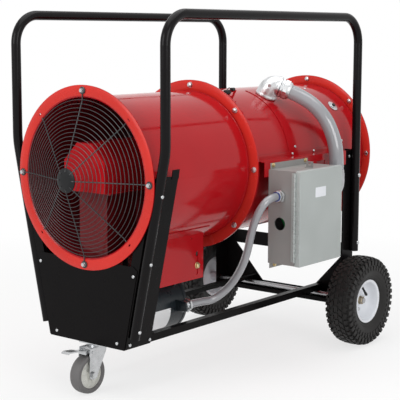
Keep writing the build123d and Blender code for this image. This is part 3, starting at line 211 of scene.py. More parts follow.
def duct_bore_shade_group():
    """Mask of the duct's inner wall, where the red is darkened as painted shade."""
    tree, given, out = new_group("Duct bore shade", {"Amount": 0.8}, MASK_OUTPUT)
    coords = tree.nodes.new("ShaderNodeTexCoord")
    split = tree.nodes.new("ShaderNodeSeparateXYZ")
    tree.links.new(coords.outputs["Object"], split.inputs[0])
    rise = math_node(tree, "SUBTRACT", split.outputs["Z"], AXIS_Z)
    square = math_node(tree, "ADD", math_node(tree, "POWER", split.outputs["X"], 2.0),
                       math_node(tree, "MULTIPLY", rise, rise))
    inside = math_node(tree, "LESS_THAN", math_node(tree, "SQRT", square), DUCT_R - 0.0012)
    tree.links.new(math_node(tree, "MULTIPLY", inside, given.outputs["Amount"], True),
                   out.inputs["Mask"])
    return tree


PAINT_SKIN = paint_skin_group()
SETTLED_DUST = settled_dust_group()
DUCT_BORE_SHADE = duct_bore_shade_group()
METAL_GRAIN = metal_grain_group()


# ---- Finishes ----
# Near-black red laid on the duct's inner wall as painted shade.
BORE_SHADE = (0.045, 0.006, 0.008, 1)
BORE_SHADE_AMOUNT = 0.72
DUST = (0.42, 0.4, 0.37, 1)
MOULDED_GLOSS = 0.25


def add_object(name, data):
    """Object linked into the scene."""
    thing = bpy.data.objects.new(name, data)
    bpy.context.collection.objects.link(thing)
    return thing


def use_group(tree, group, **values):
    """Group node with its own values."""
    node = tree.nodes.new("ShaderNodeGroup")
    node.node_tree = group
    for label, value in values.items():
        node.inputs[label].default_value = value
    return node


def fresh_material(name):
    """Material with only its Principled shader and output."""
    material = bpy.data.materials.new(name)
    material.use_nodes = True
    tree = material.node_tree
    return material, tree, tree.nodes["Principled BSDF"]


def skinned(name, group, **values):
    """Material that takes its gloss and relief from a skin group, and the group's colour."""
    material, tree, shader = fresh_material(name)
    skin = use_group(tree, group, **values)
    tree.links.new(skin.outputs["Roughness"], shader.inputs["Roughness"])
    tree.links.new(skin.outputs["Normal"], shader.inputs["Normal"])
    return material, tree, shader, skin.outputs["Colour"]


def tinted(tree, colour, group, amount, tint):
    """Colour with a tint laid where a mask group says."""
    mask = use_group(tree, group, Amount=amount)
    return blend_colours(tree, mask.outputs["Mask"], colour, tint)


def enamel(name, colour, rough, gloss, peel, dust, bore=False):
    """Painted sheet or tube."""
    material, tree, shader, top = skinned(name, PAINT_SKIN, Colour=(*colour, 1), Roughness=rough,
                                          Peel=peel)
    if bore:
        # Painted shade: the duct's inner wall is darkened by the bore mask.
        top = tinted(tree, top, DUCT_BORE_SHADE, BORE_SHADE_AMOUNT, BORE_SHADE)
    if dust > 0:
        top = tinted(tree, top, SETTLED_DUST, dust, DUST)
    tree.links.new(top, shader.inputs["Base Color"])
    shader.inputs["Specular IOR Level"].default_value = gloss
    return material


def plated(name, colour, rough, grain=400.0, depth=0.08):
    """Zinc plate, bare or cast metal."""
    material, tree, shader, top = skinned(name, METAL_GRAIN, Colour=(*colour, 1), Roughness=rough,
                                          Grain=grain, Depth=depth)
    tree.links.new(top, shader.inputs["Base Color"])
    shader.inputs["Metallic"].default_value = 1.0
    return material


def moulding(name, colour, rough, peel=0.08, dust=0.1):
    """Moulded plastic or rubber."""
    return enamel(name, colour, rough, MOULDED_GLOSS, peel, dust)


FINISH = {
    "black_paint": enamel("Frame black", (0.0045, 0.0038, 0.004), 0.3, 0.065, 0.05, 0.006),
    "hoop_black": enamel("Hoop black", (0.0048, 0.004, 0.0044), 0.2, 0.13, 0.04, 0.0),
    "duct_red": enamel("Duct red", (0.385, 0.006, 0.01), 0.12, 0.21, 0.02, 0.012, True),
    "hood_red": enamel("Hood red", (0.5, 0.0085, 0.013), 0.2, 0.09, 0.02, 0.0),
    "guard_dark": enamel("Guard black", (0.03, 0.031, 0.033), 0.3, 0.45, 0.03, 0.0),
    "zinc": plated("Bright zinc", (0.55, 0.56, 0.57), 0.26),
    "steel": plated("Turned steel", (0.42, 0.42, 0.43), 0.3),
    "element_sheath": plated("Element sheath", (0.1, 0.09, 0.08), 0.45),
    "cast_iron": plated("Sheave iron", (0.16, 0.16, 0.165), 0.55, 250.0, 0.3),
    "fan_metal": plated("Cast aluminium", (0.3, 0.3, 0.31), 0.42, 300.0, 0.2),
    "box_grey": enamel("Box grey", (0.285, 0.28, 0.272), 0.4, 0.25, 0.06, 0.03),
    "door_grey": enamel("Door grey", (0.41, 0.44, 0.43), 0.4, 0.25, 0.06, 0.03),
    "black_plastic": moulding("Black moulding", (0.01, 0.01, 0.01), 0.4),
    "terminal_white": moulding("White moulding", (0.55, 0.54, 0.5), 0.45),
    "green_wire": moulding("Green insulation", (0.02, 0.26, 0.06), 0.4),
    "conduit_grey": enamel("Conduit sheath", (0.285, 0.29, 0.308), 0.09, 1.0, 0.02, 0.0),
    "belt_rubber": moulding("Belt rubber", (0.015, 0.015, 0.015), 0.6),
    "rim_white": enamel("Rim white", (0.78, 0.8, 0.84), 0.32, 0.35, 0.05, 0.02),
    "tyre_black": moulding("Tyre rubber", (0.016, 0.015, 0.0145), 0.55, 0.25, 0.05),
    "caster_rubber": moulding("Caster tread", (0.15, 0.145, 0.145), 0.55, 0.1, 0.05),
    "hub_black": enamel("Hub disc black", (0.004, 0.0045, 0.0055), 0.34, 0.25, 0.03, 0.0),
    # Lighter, more orange copy of the duct red: painted light on the flange faces.
    "flange_lit_red": enamel("Flange red painted lit", (0.62, 0.03, 0.022), 0.24, 0.2, 0.02, 0.0),
    "motor_slate": enamel("Motor slate", (0.012, 0.017, 0.021), 0.3, 0.3, 0.05, 0.02),
    "caster_hub": moulding("Caster hub", (0.62, 0.62, 0.58), 0.5, 0.08, 0.01),
    "brassy": plated("Yellow zinc", (0.62, 0.5, 0.28), 0.3),
    "plate_blank": enamel("Blank plate", (0.78, 0.79, 0.8), 0.35, 0.3, 0.02, 0.0),
    "cast_bright": plated("Bright casting", (0.66, 0.67, 0.68), 0.33, 500.0, 0.1),
    "aged_nut": plated("Aged nut", (0.36, 0.31, 0.23), 0.35),
    "throat_blue": moulding("Throat ring", (0.05, 0.07, 0.22), 0.35, 0.03, 0.0),
}

# Solids that show another finish than their material slot's.
OWN_FINISH = {"motor_shell": "motor_slate", "motor_end_bells": "motor_slate",
              "hoop_right": "hoop_black", "hoop_left": "hoop_black"}
slot_of = {piece["node"]: piece["material_slot"] for piece in frame["record"]["subparts"]}
for node, thing in frame["nodes"].items():
    thing.data.materials.clear()
    thing.data.materials.append(FINISH[OWN_FINISH.get(node, slot_of[node])])


# ---- Conduits ----
def conduit(name, points, radius, node):
    """Flexible conduit on one smooth line through its given points."""
    line = bpy.data.curves.new(name, "CURVE")
    line.dimensions = "3D"
    line.resolution_u = 24
    line.bevel_depth = radius
    line.bevel_resolution = 10
    spline = line.splines.new("NURBS")
    spline.points.add(len(points) - 1)
    for point, (x, y, z) in zip(spline.points, points):
        point.co = (*place(x, y, z), 1)
    spline.order_u = 3
    spline.use_endpoint_u = True
    line.materials.append(FINISH["conduit_grey"])
    piece = add_object(name, line)
    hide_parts(node)
    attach(piece, "chassis")


ELBOW_EXIT = (0.15728, 0.68317, 0.75769)
ELBOW_RUN = (0.18575, 0.70007, 0.74355)
conduit(
    "power_conduit_sheath",
    [ELBOW_EXIT, ELBOW_RUN, (0.222, 0.715, 0.718), (0.255, 0.7255, 0.679),
     (0.277, 0.7307, 0.6285), (0.286, 0.733, 0.583), (0.286, 0.733, 0.538)],
    LARGE_CONDUIT_R, "power_conduit",
)
conduit(
    "motor_conduit_sheath",
    [(0.1, 0.298, 0.195), (0.1, 0.343, 0.195), (0.113, 0.39, 0.193), (0.15, 0.424, 0.236),
     (0.215, 0.401, 0.32), (0.255, 0.373, 0.42), (0.288, 0.386, 0.492), (0.288, 0.431, 0.492)],
    SMALL_CONDUIT_R, "motor_conduit",
)


# ---- Mesh helpers ----
SMOOTH_UNDER = radians(40.0)
CORNER_STEPS = 5
BEND_STEPS = 18


def show(build, name, slot, stands_for=(), finish=None, body="chassis"):
    """Turn a bmesh into a piece that rides on a body."""
    mesh = bpy.data.meshes.new(name)
    bmesh.ops.recalc_face_normals(build, faces=build.faces)
    build.to_mesh(mesh)
    build.free()
    mesh.shade_smooth()
    mesh.set_sharp_from_angle(angle=SMOOTH_UNDER)
    mesh.materials.append(FINISH[finish or slot])
    piece = add_object(name, mesh)
    if stands_for:
        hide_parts(*stands_for)
    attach(piece, body)


def facing(origin, direction, roll=0.0):
    """Matrix that stands +Z along a direction at a point."""
    turn = Vector(direction).normalized().to_track_quat("Z", "Y").to_matrix().to_4x4()
    return Matrix.Translation(origin) @ turn @ Matrix.Rotation(roll, 4, "Z")


def outward(angle):
    """Direction out of the duct, angle in degrees from the top to the right."""
    a = radians(angle)
    return Vector((sin(a), 0, cos(a)))


def duct_point(radius, angle, y):
    """Point round the duct axis, angle in degrees from the top to the right."""
    return place(0, y, AXIS_Z) + radius * outward(angle)


def duct_ring(radius, y, steps):
    """Points of a circle round the duct axis."""
    return [duct_point(radius, 360 * k / steps, y) for k in range(steps)]


def turns(count):
    """Angles of equal steps round a circle, in radians."""
    return [2 * pi * k / count for k in range(count)]


def both_faces(half):
    """Whole wheel profile from the half on one face."""
    return half + [(r, -h) for r, h in reversed(half)]


def mm(*points):
    """Profile of points given in millimetres."""
    return [(radius / 1000, height / 1000) for radius, height in points]


def lathe(build, profile, matrix, steps):
    """Surface of revolution about +Z of a closed outline of (radius, height) points."""
    rings = []
    for radius, height in profile:
        if radius == 0:
            rings.append([build.verts.new(matrix @ Vector((0, 0, height)))])
            continue
        rings.append([build.verts.new(matrix @ Vector((radius * cos(a), radius * sin(a), height)))
                      for a in turns(steps)])
    for first, second in zip(rings, rings[1:] + rings[:1]):
        if len(first) == 1 and len(second) == 1:
            continue
        for k in range(steps):
            n = (k + 1) % steps
            if len(first) == 1:
                build.faces.new((first[0], second[k], second[n]))
            elif len(second) == 1:
                build.faces.new((first[k], second[0], first[n]))
            else:
                build.faces.new((first[k], second[k], second[n], first[n]))


def wire(build, points, radius, sides, closed=False):
    """Round wire along a line of points, of one radius or one for each point."""
    count = len(points)
    radii = radius if isinstance(radius, list) else [radius] * count
    spots = [Vector(p) for p in points]
    rings = []
    side = None
    for k, spot in enumerate(spots):
        if closed:
            along = spots[(k + 1) % count] - spots[k - 1]
        else:
            along = spots[min(k + 1, count - 1)] - spots[max(k - 1, 0)]
        along.normalize()
        if side is None:
            side = along.orthogonal().normalized()
        side = (side - along * side.dot(along)).normalized()
        other = along.cross(side)
        rings.append([build.verts.new(spot + radii[k] * (cos(a) * side + sin(a) * other))
                      for a in turns(sides)])
    for first, second in zip(rings[:-1], rings[1:]):
        join_rings(build, first, second, 0)
    if closed:
        gaps = [(rings[-1][0].co - v.co).length for v in rings[0]]
        join_rings(build, rings[-1], rings[0], gaps.index(min(gaps)))
    else:
        build.faces.new(rings[0])
        build.faces.new(rings[-1])


def join_rings(build, first, second, shift):
    """Skin between two rings, the second turned on by a number of points."""
    sides = len(first)
    for j in range(sides):
        n = (j + 1) % sides
        build.faces.new((first[j], second[(j + shift) % sides], second[(n + shift) % sides],
                         first[n]))


def stacked(build, rings):
    """Closed skin over rings that have the same number of points."""
    rows = [[build.verts.new(p) for p in ring] for ring in rings]
    for first, second in zip(rows[:-1], rows[1:]):
        join_rings(build, first, second, 0)
    build.faces.new(rows[0])
    build.faces.new(rows[-1])


def faceted(build, stand, across, sides, levels):
    """Body with flat sides, from (height, scale) levels and its width over flats."""
    corner = across / 2 / cos(pi / sides)
    stacked(build, [[stand @ Vector((corner * scale * cos(a), corner * scale * sin(a), level))
                     for a in turns(sides)] for level, scale in levels])


def slab(build, x0, x1, y0, y1, z0, z1):
    """Block between two corners."""
    stacked(build, [[place(x, y0, z0), place(x, y1, z0), place(x, y1, z1), place(x, y0, z1)]
                    for x in (x0, x1)])


def rounded_rectangle(x, low, high, corner):
    """Points of a rounded rectangle between two (y, z) corners."""
    points = []
    for index, (sy, sz) in enumerate(((1, 1), (-1, 1), (-1, -1), (1, -1))):
        y = (high[0] if sy > 0 else low[0]) - sy * corner
        z = (high[1] if sz > 0 else low[1]) - sz * corner
        for k in range(CORNER_STEPS + 1):
            a = pi / 2 * (index + k / CORNER_STEPS)
            points.append(place(x, y + corner * cos(a), z + corner * sin(a)))
    return points


# ---- Heads, nuts and washers ----
def hex_head(build, origin, direction, across, height, roll=0.0):
    """Hexagon with a sloped crown."""
    faceted(build, facing(origin, direction, roll), across, 6,
            ((0, 1.0), (height * 0.86, 1.0), (height, 0.86)))


def nut(build, origin, direction, across, height, sides, roll):
    """Flat-sided nut with bevelled faces."""
    faceted(build, facing(origin, direction, roll), across, sides,
            ((0, 0.93), (height * 0.1, 1.0), (height * 0.9, 1.0), (height, 0.93)))


def washer(build, origin, direction, radius, bore, thick):
    """Flat washer."""
    lathe(build, [(bore, 0), (radius, 0), (radius, thick * 0.7), (radius - thick * 0.3, thick),
                  (bore, thick)], facing(origin, direction), 28)


def pan_head(build, origin, direction, radius, height):
    """Domed screw head with a dimple."""
    lathe(build, [(0, 0), (radius, 0), (radius, height * 0.25), (radius * 0.86, height * 0.75),
                  (radius * 0.5, height), (radius * 0.18, height), (0, height * 0.45)],
          facing(origin, direction), 24)


# ---- Inlet guard ----
GUARD_RINGS = 17
GUARD_FIRST = 0.038
GUARD_PITCH = 0.01
GUARD_RISE = 62.0 / 169.5
GUARD_EDGE = 0.201
GUARD_HUB_R = 0.0315
RING_WIRE_R = 0.00085
SPOKE_R = 0.0015
SPOKE_BACK = 0.0022               # how far behind the rings the spokes run
EYE_R = 0.0076
EYE_WIRE_R = 0.0021


def guard_y(radius):
    """How far forward the guard's cone is at a radius."""
    return -0.003 - (GUARD_EDGE - radius) * GUARD_RISE


def guard_eye(build, angle):
    """Wire eye that a guard bolt goes through."""
    centre = duct_point(BOLT_CIRCLE, angle, -0.0021)
    wire(build, [centre + EYE_R * (cos(a) * outward(angle) + sin(a) * outward(angle + 90))
                 for a in turns(28)], EYE_WIRE_R, 8, True)


def inlet_guard():
    """Wire guard: rings welded on eight spokes, four of them ending in eyes."""
    build = bmesh.new()
    for k in range(GUARD_RINGS):
        radius = GUARD_FIRST + GUARD_PITCH * k
        wire(build, duct_ring(radius, guard_y(radius), 96), RING_WIRE_R, 8, True)
    for k in range(8):
        angle = 45 * k
        has_eye = k % 2 == 0
        line = [duct_point(0.022, angle, guard_y(0.022) + SPOKE_BACK),
                duct_point(0.196, angle, guard_y(0.196) + SPOKE_BACK),
                duct_point(GUARD_EDGE, angle, -0.0024),
                duct_point(0.2125 if has_eye else 0.2058, angle, -0.0022)]
        wire(build, line, SPOKE_R, 10)
        if has_eye:
            guard_eye(build, angle)
    show(build, "inlet_guard_wires", "guard_dark", ("inlet_guard",))
    build = bmesh.new()
    face = facing(place(0, guard_y(GUARD_HUB_R) + 0.0017, AXIS_Z), (0, -1, 0))
    lathe(build, [(0, -0.0012), (0.031, -0.0012), (GUARD_HUB_R, 0.0002), (0.0313, 0.0012),
                  (0.03, 0.0019), (0.012, 0.0026), (0, 0.0028)], face, 64)
    show(build, "inlet_guard_disc", "guard_dark", (), "hub_black")


# ---- Road wheels ----
TREAD_COUNT = 40
BLOCK_TAPER = 0.0007
CROWN_BASE = 0.127
CROWN_LENGTH = 0.74               # of one pitch
# Crown blocks: x range, place in the pitch, skew and top radius.
CROWN_BLOCKS = ((-0.0205, -0.0085, 0.0, 5.0, 0.1328), (-0.0065, 0.0065, 0.5, 0.0, 0.1334),
                (0.0085, 0.0205, 0.0, -5.0, 0.1328))
# Shoulder and side blocks: start and end in the pitch, x range, base and top radius.
SIDE_BLOCKS = ((0.5, 1.22, 0.0225, 0.0325, 0.1215, 0.1302),
               (1.0, 1.65, 0.0335, 0.0412, 0.11, 0.124),
               (0.55, 1.12, 0.036, 0.0428, 0.094, 0.1072))


def tread_block(build, centre_x, side, angle0, angle1, x0, x1, low, high, skew):
    """One rubber block of the tread between two angles and two widths."""
    corners = []
    for radius, pinch in ((low, 0.0), (high, BLOCK_TAPER)):
        for angle, edge in ((angle0, 1), (angle1, -1)):
            for x, inner in ((x0, 1), (x1, -1)):
                a = angle + edge * pinch / radius + skew * (x - (x0 + x1) / 2)
                spot_x = centre_x + side * (x + inner * pinch)
                corners.append(build.verts.new(
                    place(spot_x, AXLE_Y + radius * sin(a), AXLE_Z + radius * cos(a))))
    a, b, c, d, e, f, g, h = corners
    for face in ((a, b, d, c), (e, g, h, f), (a, e, f, b), (c, d, h, g), (a, c, g, e), (b, f, h, d)):
        build.faces.new(face)


def road_tyre(side, name):
    """Block-tread pneumatic tyre."""
    build = bmesh.new()
    centre = WHEEL_X * side
    outline = mm((62.2, -27), (65, -27.2), (67.2, -30), (74, -35.2), (76, -35.6), (76.5, -35.2),
                 (85, -39.6), (96, -41.2), (106, -40.2), (115, -36.6), (123, -31), (127.8, -22),
                 (130.3, -11), (130.9, 0))
    bore = mm((62.2, 20), (75, 26), (118, 20))
    profile = outline + [(r, -h) for r, h in reversed(outline[:-1])]
    profile += both_faces(bore)
    lathe(build, profile, facing(place(centre, AXLE_Y, AXLE_Z), (side, 0, 0)), 96)
    pitch = 2 * pi / TREAD_COUNT
    for k in range(TREAD_COUNT):
        for x0, x1, turn, skew, top in CROWN_BLOCKS:
            tread_block(build, centre, 1, pitch * (k + turn), pitch * (k + turn + CROWN_LENGTH),
                        x0, x1, CROWN_BASE, top, skew)
        for way in (-1, 1):
            for start, end, x0, x1, low, high in SIDE_BLOCKS:
                tread_block(build, centre, way, pitch * (k + start), pitch * (k + end), x0, x1,
                            low, high, 0.0)
    show(build, "road_tyre_" + name, "tyre_black", ("tyre_" + name,), body=name + "_wheel")


def road_wheel(side, name):
    """Dished steel rim with its hub, lug nuts and valve."""
    build = bmesh.new()
    rim = mm((8.2, -45), (15, -45), (15, -20), (20, -15), (26, -11.5), (44, -11), (50, -13),
             (54.5, -22), (57, -29), (60, -30.2), (64, -30.6), (65, -29.8), (64.5, -28.5),
             (62.2, -27.5), (62.1, 27.5), (64.5, 28.5), (65, 29.8), (64, 30.6), (60, 30.3),
             (57.4, 29), (55.6, 24), (54.3, 15), (52, 6), (47, -1), (40, -4.5), (28, -7),
             (20.5, -6), (16.8, -3), (15.5, 1), (14.5, 2), (8.2, 2))
    lathe(build, rim, facing(place(WHEEL_X * side, AXLE_Y, AXLE_Z), (side, 0, 0)), 72)
    show(build, "road_rim_" + name, "rim_white", ("wheel_" + name,), body=name + "_wheel")
    build = bmesh.new()
    nut_circle = 0.03
    for k in range(4):
        a = radians(82 + 90 * k)
        spot = place(side * (WHEEL_X - 0.007), AXLE_Y + nut_circle * sin(a),
                     AXLE_Z + nut_circle * cos(a))
        hex_head(build, spot, (side, 0, 0), 0.0095, 0.0045, 0.2 * k)
    show(build, "rim_nuts_" + name, "zinc", body=name + "_wheel")
    build = bmesh.new()
    foot = place(side * (WHEEL_X - 0.002), AXLE_Y + 0.014 * side, AXLE_Z + 0.04)
    tip = place(side * (WHEEL_X + 0.027), AXLE_Y - 0.003 * side, AXLE_Z + 0.017)
    lathe(build, mm((0, -4), (4.8, -4), (4.4, 3), (3.4, 6), (3.3, 28), (4, 28.5), (4, 37),
                    (3.5, 38.5), (0, 38.5)), facing(foot, tip - foot), 20)
    show(build, "valve_" + name, "black_plastic", body=name + "_wheel")


def axle_and_nuts():
    """Axle bar, with the spacers inside the wheels and the nuts in their dishes."""
    build = bmesh.new()
    reach = WHEEL_X + 0.0165
    wire(build, [place(-reach, AXLE_Y, AXLE_Z), place(reach, AXLE_Y, AXLE_Z)], 0.0078, 24)
    show(build, "wheel_axle_bar", "steel", ("wheel_axle",))
    build = bmesh.new()
    for side in (-1, 1):
        out = (side, 0, 0)
        lathe(build, mm((8.1, 0), (13.6, 0), (13.8, 0.3), (13.8, 3.8), (13.6, 4.1), (8.1, 4.1)),
              facing(place(side * 0.2386, AXLE_Y, AXLE_Z), out), 32)
        washer(build, place(side * (WHEEL_X + 0.0024), AXLE_Y, AXLE_Z), out, 0.0128, 0.008, 0.0018)
        hex_head(build, place(side * (WHEEL_X + 0.0042), AXLE_Y, AXLE_Z), out, 0.02, 0.0095, 0.25)
    show(build, "axle_nuts", "zinc", ("axle_collars",), "aged_nut")


# ---- Bolts and screws ----
SCREW_R = 0.0042                  # heads of the cover's and bracket's screws
SCREW_H = 0.0026
FRONT_FOOT = (0.155, 0.165)       # x and z of a hoop's front foot and knee
FRONT_KNEE = (0.258, 0.64)
HOOP_Y = 0.0153


def flange_shank(build, angle, y0, y1, radius, sides):
    """Shank of a bolt on the bolt circle."""
    wire(build, [duct_point(BOLT_CIRCLE, angle, y0), duct_point(BOLT_CIRCLE, angle, y1)], radius,
         sides)


def guard_bolts():
    """Bolts in the guard's eyes, with the two nuts behind the flange."""
    build = bmesh.new()
    for k, angle in enumerate((0, 90, 180, 270)):
        spot = duct_point(BOLT_CIRCLE, angle, -0.0038)
        washer(build, spot, (0, -1, 0), 0.0058, 0.003, 0.001)
        hex_head(build, spot + Vector((0, -0.0009, 0)), (0, -1, 0), 0.0095, 0.0046, 0.3 * k)
        flange_shank(build, angle, -0.0038, 0.0095, 0.0029, 10)
    for angle, back in ((0, 0.0027), (180, 0.0048)):
        hex_head(build, duct_point(BOLT_CIRCLE, angle, back), (0, 1, 0), 0.011, 0.005)
    show(build, "guard_bolt_heads", "zinc", ("guard_bolts",))


def flange_bolts():
    """Bolts of the middle joint, studs of the outlet, screws of cover and bracket."""
    build = bmesh.new()
    joint_face = HOUSING_LEN - FLANGE_T
    outlet_face = CASING_END - FLANGE_T
    for k in range(8):
        angle = 45 * k
        washer(build, duct_point(BOLT_CIRCLE, angle, joint_face), (0, -1, 0), 0.0078, 0.004, 0.0012)
        hex_head(build, duct_point(BOLT_CIRCLE, angle, joint_face - 0.0011), (0, -1, 0), 0.0125,
                 0.005, 0.4 * k)
        flange_shank(build, angle, joint_face, joint_face + 0.0135, 0.004, 12)
        hex_head(build, duct_point(BOLT_CIRCLE, angle, HOUSING_LEN + FLANGE_T), (0, 1, 0), 0.013,
                 0.006, 0.7 * k)
        hex_head(build, duct_point(BOLT_CIRCLE, angle, outlet_face), (0, -1, 0), 0.013, 0.0053,
                 0.5 * k)
        flange_shank(build, angle, outlet_face, CASING_END + 0.0098, 0.004, 12)
    for angle, y in ((77.3, 0.6456), (77.3, 0.892), (19.2, 0.74), (19.2, 0.892)):
        pan_head(build, duct_point(0.2071, angle, y), outward(angle), SCREW_R, SCREW_H)
    for y in (0.625, 0.733, 0.825):
        pan_head(build, place(0.2077, y, 0.587), (1, 0, 0), SCREW_R, SCREW_H)
    show(build, "flange_bolt_set", "zinc", ("flange_bolts",))


def frame_screws():
    """Screws of the apron, side plates, hoops and rear panel."""
    build = bmesh.new()
    slope = (FRONT_KNEE[0] - FRONT_FOOT[0]) / (FRONT_KNEE[1] - FRONT_FOOT[1])
    for sx in (-1, 1):
        side = (sx, 0, 0)
        for x, z in ((0.164, 0.328), (0.107, 0.149)):
            pan_head(build, place(sx * x, 0.0026, z), (0, -1, 0), 0.0045, 0.0026)
        for y in (HOOP_Y, 0.0903):
            pan_head(build, place(sx * 0.139, y, 0.1475), side, 0.0045, 0.0026)
        out = Vector((sx, 0, -slope)).normalized()
        for z in (0.535, 0.364, 0.188):
            x = FRONT_FOOT[0] + (z - FRONT_FOOT[1]) * slope
            pan_head(build, place(sx * x, HOOP_Y, z) + out * 0.0125, out, 0.0047, 0.003)
        pan_head(build, place(sx * 0.2382, 0.88, 0.561), side, 0.005, 0.0028)
        for z in (0.505, 0.301):
            pan_head(build, place(sx * 0.2636, 0.895, z), side, 0.0062, 0.0034)
    show(build, "frame_screw_heads", "zinc", ("frame_screws",))


def motor_bolts():
    """Foot bolts of the motor and the clamped slide bolts of its plate."""
    build = bmesh.new()
    for sx in (-1, 1):
        for y in (0.192, 0.268):
            x = sx * 0.062
            hex_head(build, place(x, y, 0.283), (0, 0, 1), 0.015, 0.006, 0.3)
            hex_head(build, place(x, y, 0.276), (0, 0, -1), 0.015, 0.007)
            wire(build, [place(x, y, 0.283), place(x, y, 0.267)], 0.005, 12)
    show(build, "motor_foot_bolts", "zinc", ("motor_bolts",))
    build = bmesh.new()
    z = 0.305
    for sx in (-1, 1):
        for y in (0.145, 0.306):
            washer(build, place(sx * 0.12, y, z), (sx, 0, 0), 0.0088, 0.0042, 0.0016)
            hex_head(build, place(sx * 0.1215, y, z), (sx, 0, 0), 0.013, 0.0048, 0.2)
            wire(build, [place(sx * 0.12, y, z), place(sx * 0.107, y, z)], 0.004, 12)
            hex_head(build, place(sx * 0.115, y, z), (-sx, 0, 0), 0.013, 0.006)
    show(build, "slide_bolts", "zinc", (), "brassy")


# ---- Duct faces ----
FACE_STEPS = 288
FACE_LIFT = 0.0004
SLOT_R = (0.2159, 0.2201)         # radii of the front flange's open slots
SLOT_HALF_ANGLE = 1.3


def flange_face(name, y, low, high, slots=False):
    """Lit front face of a flange, with its four open slots where it has them."""
    build = bmesh.new()
    bands = ((low, 0.0), (low + 0.0006, FACE_LIFT), (SLOT_R[0], FACE_LIFT), (SLOT_R[1], FACE_LIFT),
             (high - 0.0006, FACE_LIFT), (high, 0.0))
    rings = [[build.verts.new(p) for p in duct_ring(radius, y - lift, FACE_STEPS)]
             for radius, lift in bands]
    for band, (inner, outer) in enumerate(zip(rings[:-1], rings[1:])):
        for k in range(FACE_STEPS):
            angle = 360 * (k + 0.5) / FACE_STEPS
            if slots and band == 2 and abs((angle % 90) - 45) < SLOT_HALF_ANGLE:
                continue
            n = (k + 1) % FACE_STEPS
            build.faces.new((inner[k], inner[n], outer[n], outer[k]))
    # The flange faces' lighter red is painted light.
    show(build, name, "duct_red", (), "flange_lit_red")


def duct_seams():
    """Rolled beads and lap seams of the two duct sections."""
    build = bmesh.new()
    for y, thick in ((0.0075, 0.0012), (0.417, 0.0012), (0.435, 0.0012), (1.001, 0.001)):
        wire(build, duct_ring(DUCT_R + 0.0004, y, 120), thick, 8, True)
    lap = ((DUCT_R, -1.6), (DUCT_R + 0.0008, -1.5), (DUCT_R + 0.0008, 1.5), (DUCT_R, 1.6))
    for angle, y0, y1 in ((-28.0, 0.01, 0.415), (-32.0, 0.437, 1.0)):
        stacked(build, [[duct_point(radius, angle + turn, y) for radius, turn in lap]
                        for y in (y0, y1)])
    show(build, "duct_seams", "duct_red")


# ---- Control box ----
BOX_LOW, BOX_HIGH = span("control_box")
DOOR_LOW, DOOR_HIGH = span("box_door")
BOX_Y0 = BOX_LOW.y
BOX_Y1 = BOX_HIGH.y
DOOR_OVER = 0.0015                # how far the door pan reaches past the box
HINGE_X = BOX_HIGH.x - 0.0005
HINGE_Y = BOX_Y0 - 0.0052
HINGE_Z = 0.317
KNUCKLE_PITCH = 0.0126
KNUCKLE_LEN = 0.0122
KNUCKLES = 19


def door_ring(x, inset):
    """Rounded outline of the door pan at a depth."""
    low = (BOX_Y0 - DOOR_OVER + inset, DOOR_LOW.z + inset)
    high = (BOX_Y1 + DOOR_OVER - inset, DOOR_HIGH.z - inset)
    return rounded_rectangle(x, low, high, max(0.0042 - inset, 0.0012))


def hinge_knuckles(build, first, x0, x1, y0, y1):
    """Every second knuckle of the long hinge, each with its tongue."""
    for index in range(first, KNUCKLES, 2):
        z = HINGE_Z + KNUCKLE_PITCH * index
        lathe(build, [(0.0016, 0), (0.003, 0), (0.0032, 0.0003), (0.0032, 0.0119),
                      (0.003, KNUCKLE_LEN), (0.0016, KNUCKLE_LEN)],
              facing(place(HINGE_X, HINGE_Y, z), (0, 0, 1)), 20)
        slab(build, x0, x1, y0, y1, z, z + KNUCKLE_LEN)


def box_door():
    """Pan door with rolled corners and a bare plate."""
    build = bmesh.new()
    stacked(build, [door_ring(0.3521, 0.0016), door_ring(0.3386, 0.0016), door_ring(0.3386, 0.0),
                    door_ring(0.3512, 0.0), door_ring(0.3526, 0.0004), door_ring(0.3534, 0.0012),
                    door_ring(0.3537, 0.0026)])
    hinge_knuckles(build, 1, 0.3372, 0.35, 0.4484, 0.45)
    show(build, "box_door_pan", "door_grey", ("box_door",), body="door")
    build = bmesh.new()
    stacked(build, [rounded_rectangle(x, (0.523, 0.486), (0.574, 0.513), 0.002)
                    for x in (0.3536, 0.3539)])
    show(build, "door_plate", "door_grey", (), "rim_white", "door")


def box_hinge():
    """Fixed leaf of the long hinge, with its pin and knuckles."""
    build = bmesh.new()
    hinge_knuckles(build, 0, 0.3345, 0.3375, 0.4486, 0.4508)
    slab(build, 0.3255, 0.337, 0.4503, 0.4514, HINGE_Z, 0.5562)
    for k in range(7):
        pan_head(build, place(0.329, 0.4504, 0.33 + 0.0355 * k), (0, -1, 0), 0.0022, 0.001)
    wire(build, [place(HINGE_X, HINGE_Y, 0.3162), place(HINGE_X, HINGE_Y, 0.557)], 0.0015, 12)
    show(build, "box_hinge_leaf", "zinc", ("box_hinge",), "door_grey")


def box_fasteners():
    """Bolts of the box's ears, and the edge of its open supply hole."""
    build = bmesh.new()
    for y, z in ((0.4698, 0.571), (0.6246, 0.5719), (0.48, 0.298), (0.626, 0.298)):
        washer(build, place(0.2516, y, z), (1, 0, 0), 0.0066, 0.0033, 0.001)
        hex_head(build, place(0.2525, y, z), (1, 0, 0), 0.009, 0.0036, 0.5)
        wire(build, [place(0.253, y, z), place(0.246, y, z)], 0.003, 10)
    show(build, "box_ear_bolts", "zinc", (), "brassy")
    build = bmesh.new()
    lathe(build, mm((17.3, -1.4), (19, 0), (18.6, 0.4), (17.5, 0.5)),
          facing(place(0.288, BOX_Y0, 0.4165), (0, -1, 0)), 48)
    show(build, "supply_hole_edge", "box_grey")


# ---- Conduit fittings ----
ELBOW_ANGLE = 26.4                # of the elbow round the duct, from the top
ELBOW_Y = 0.655


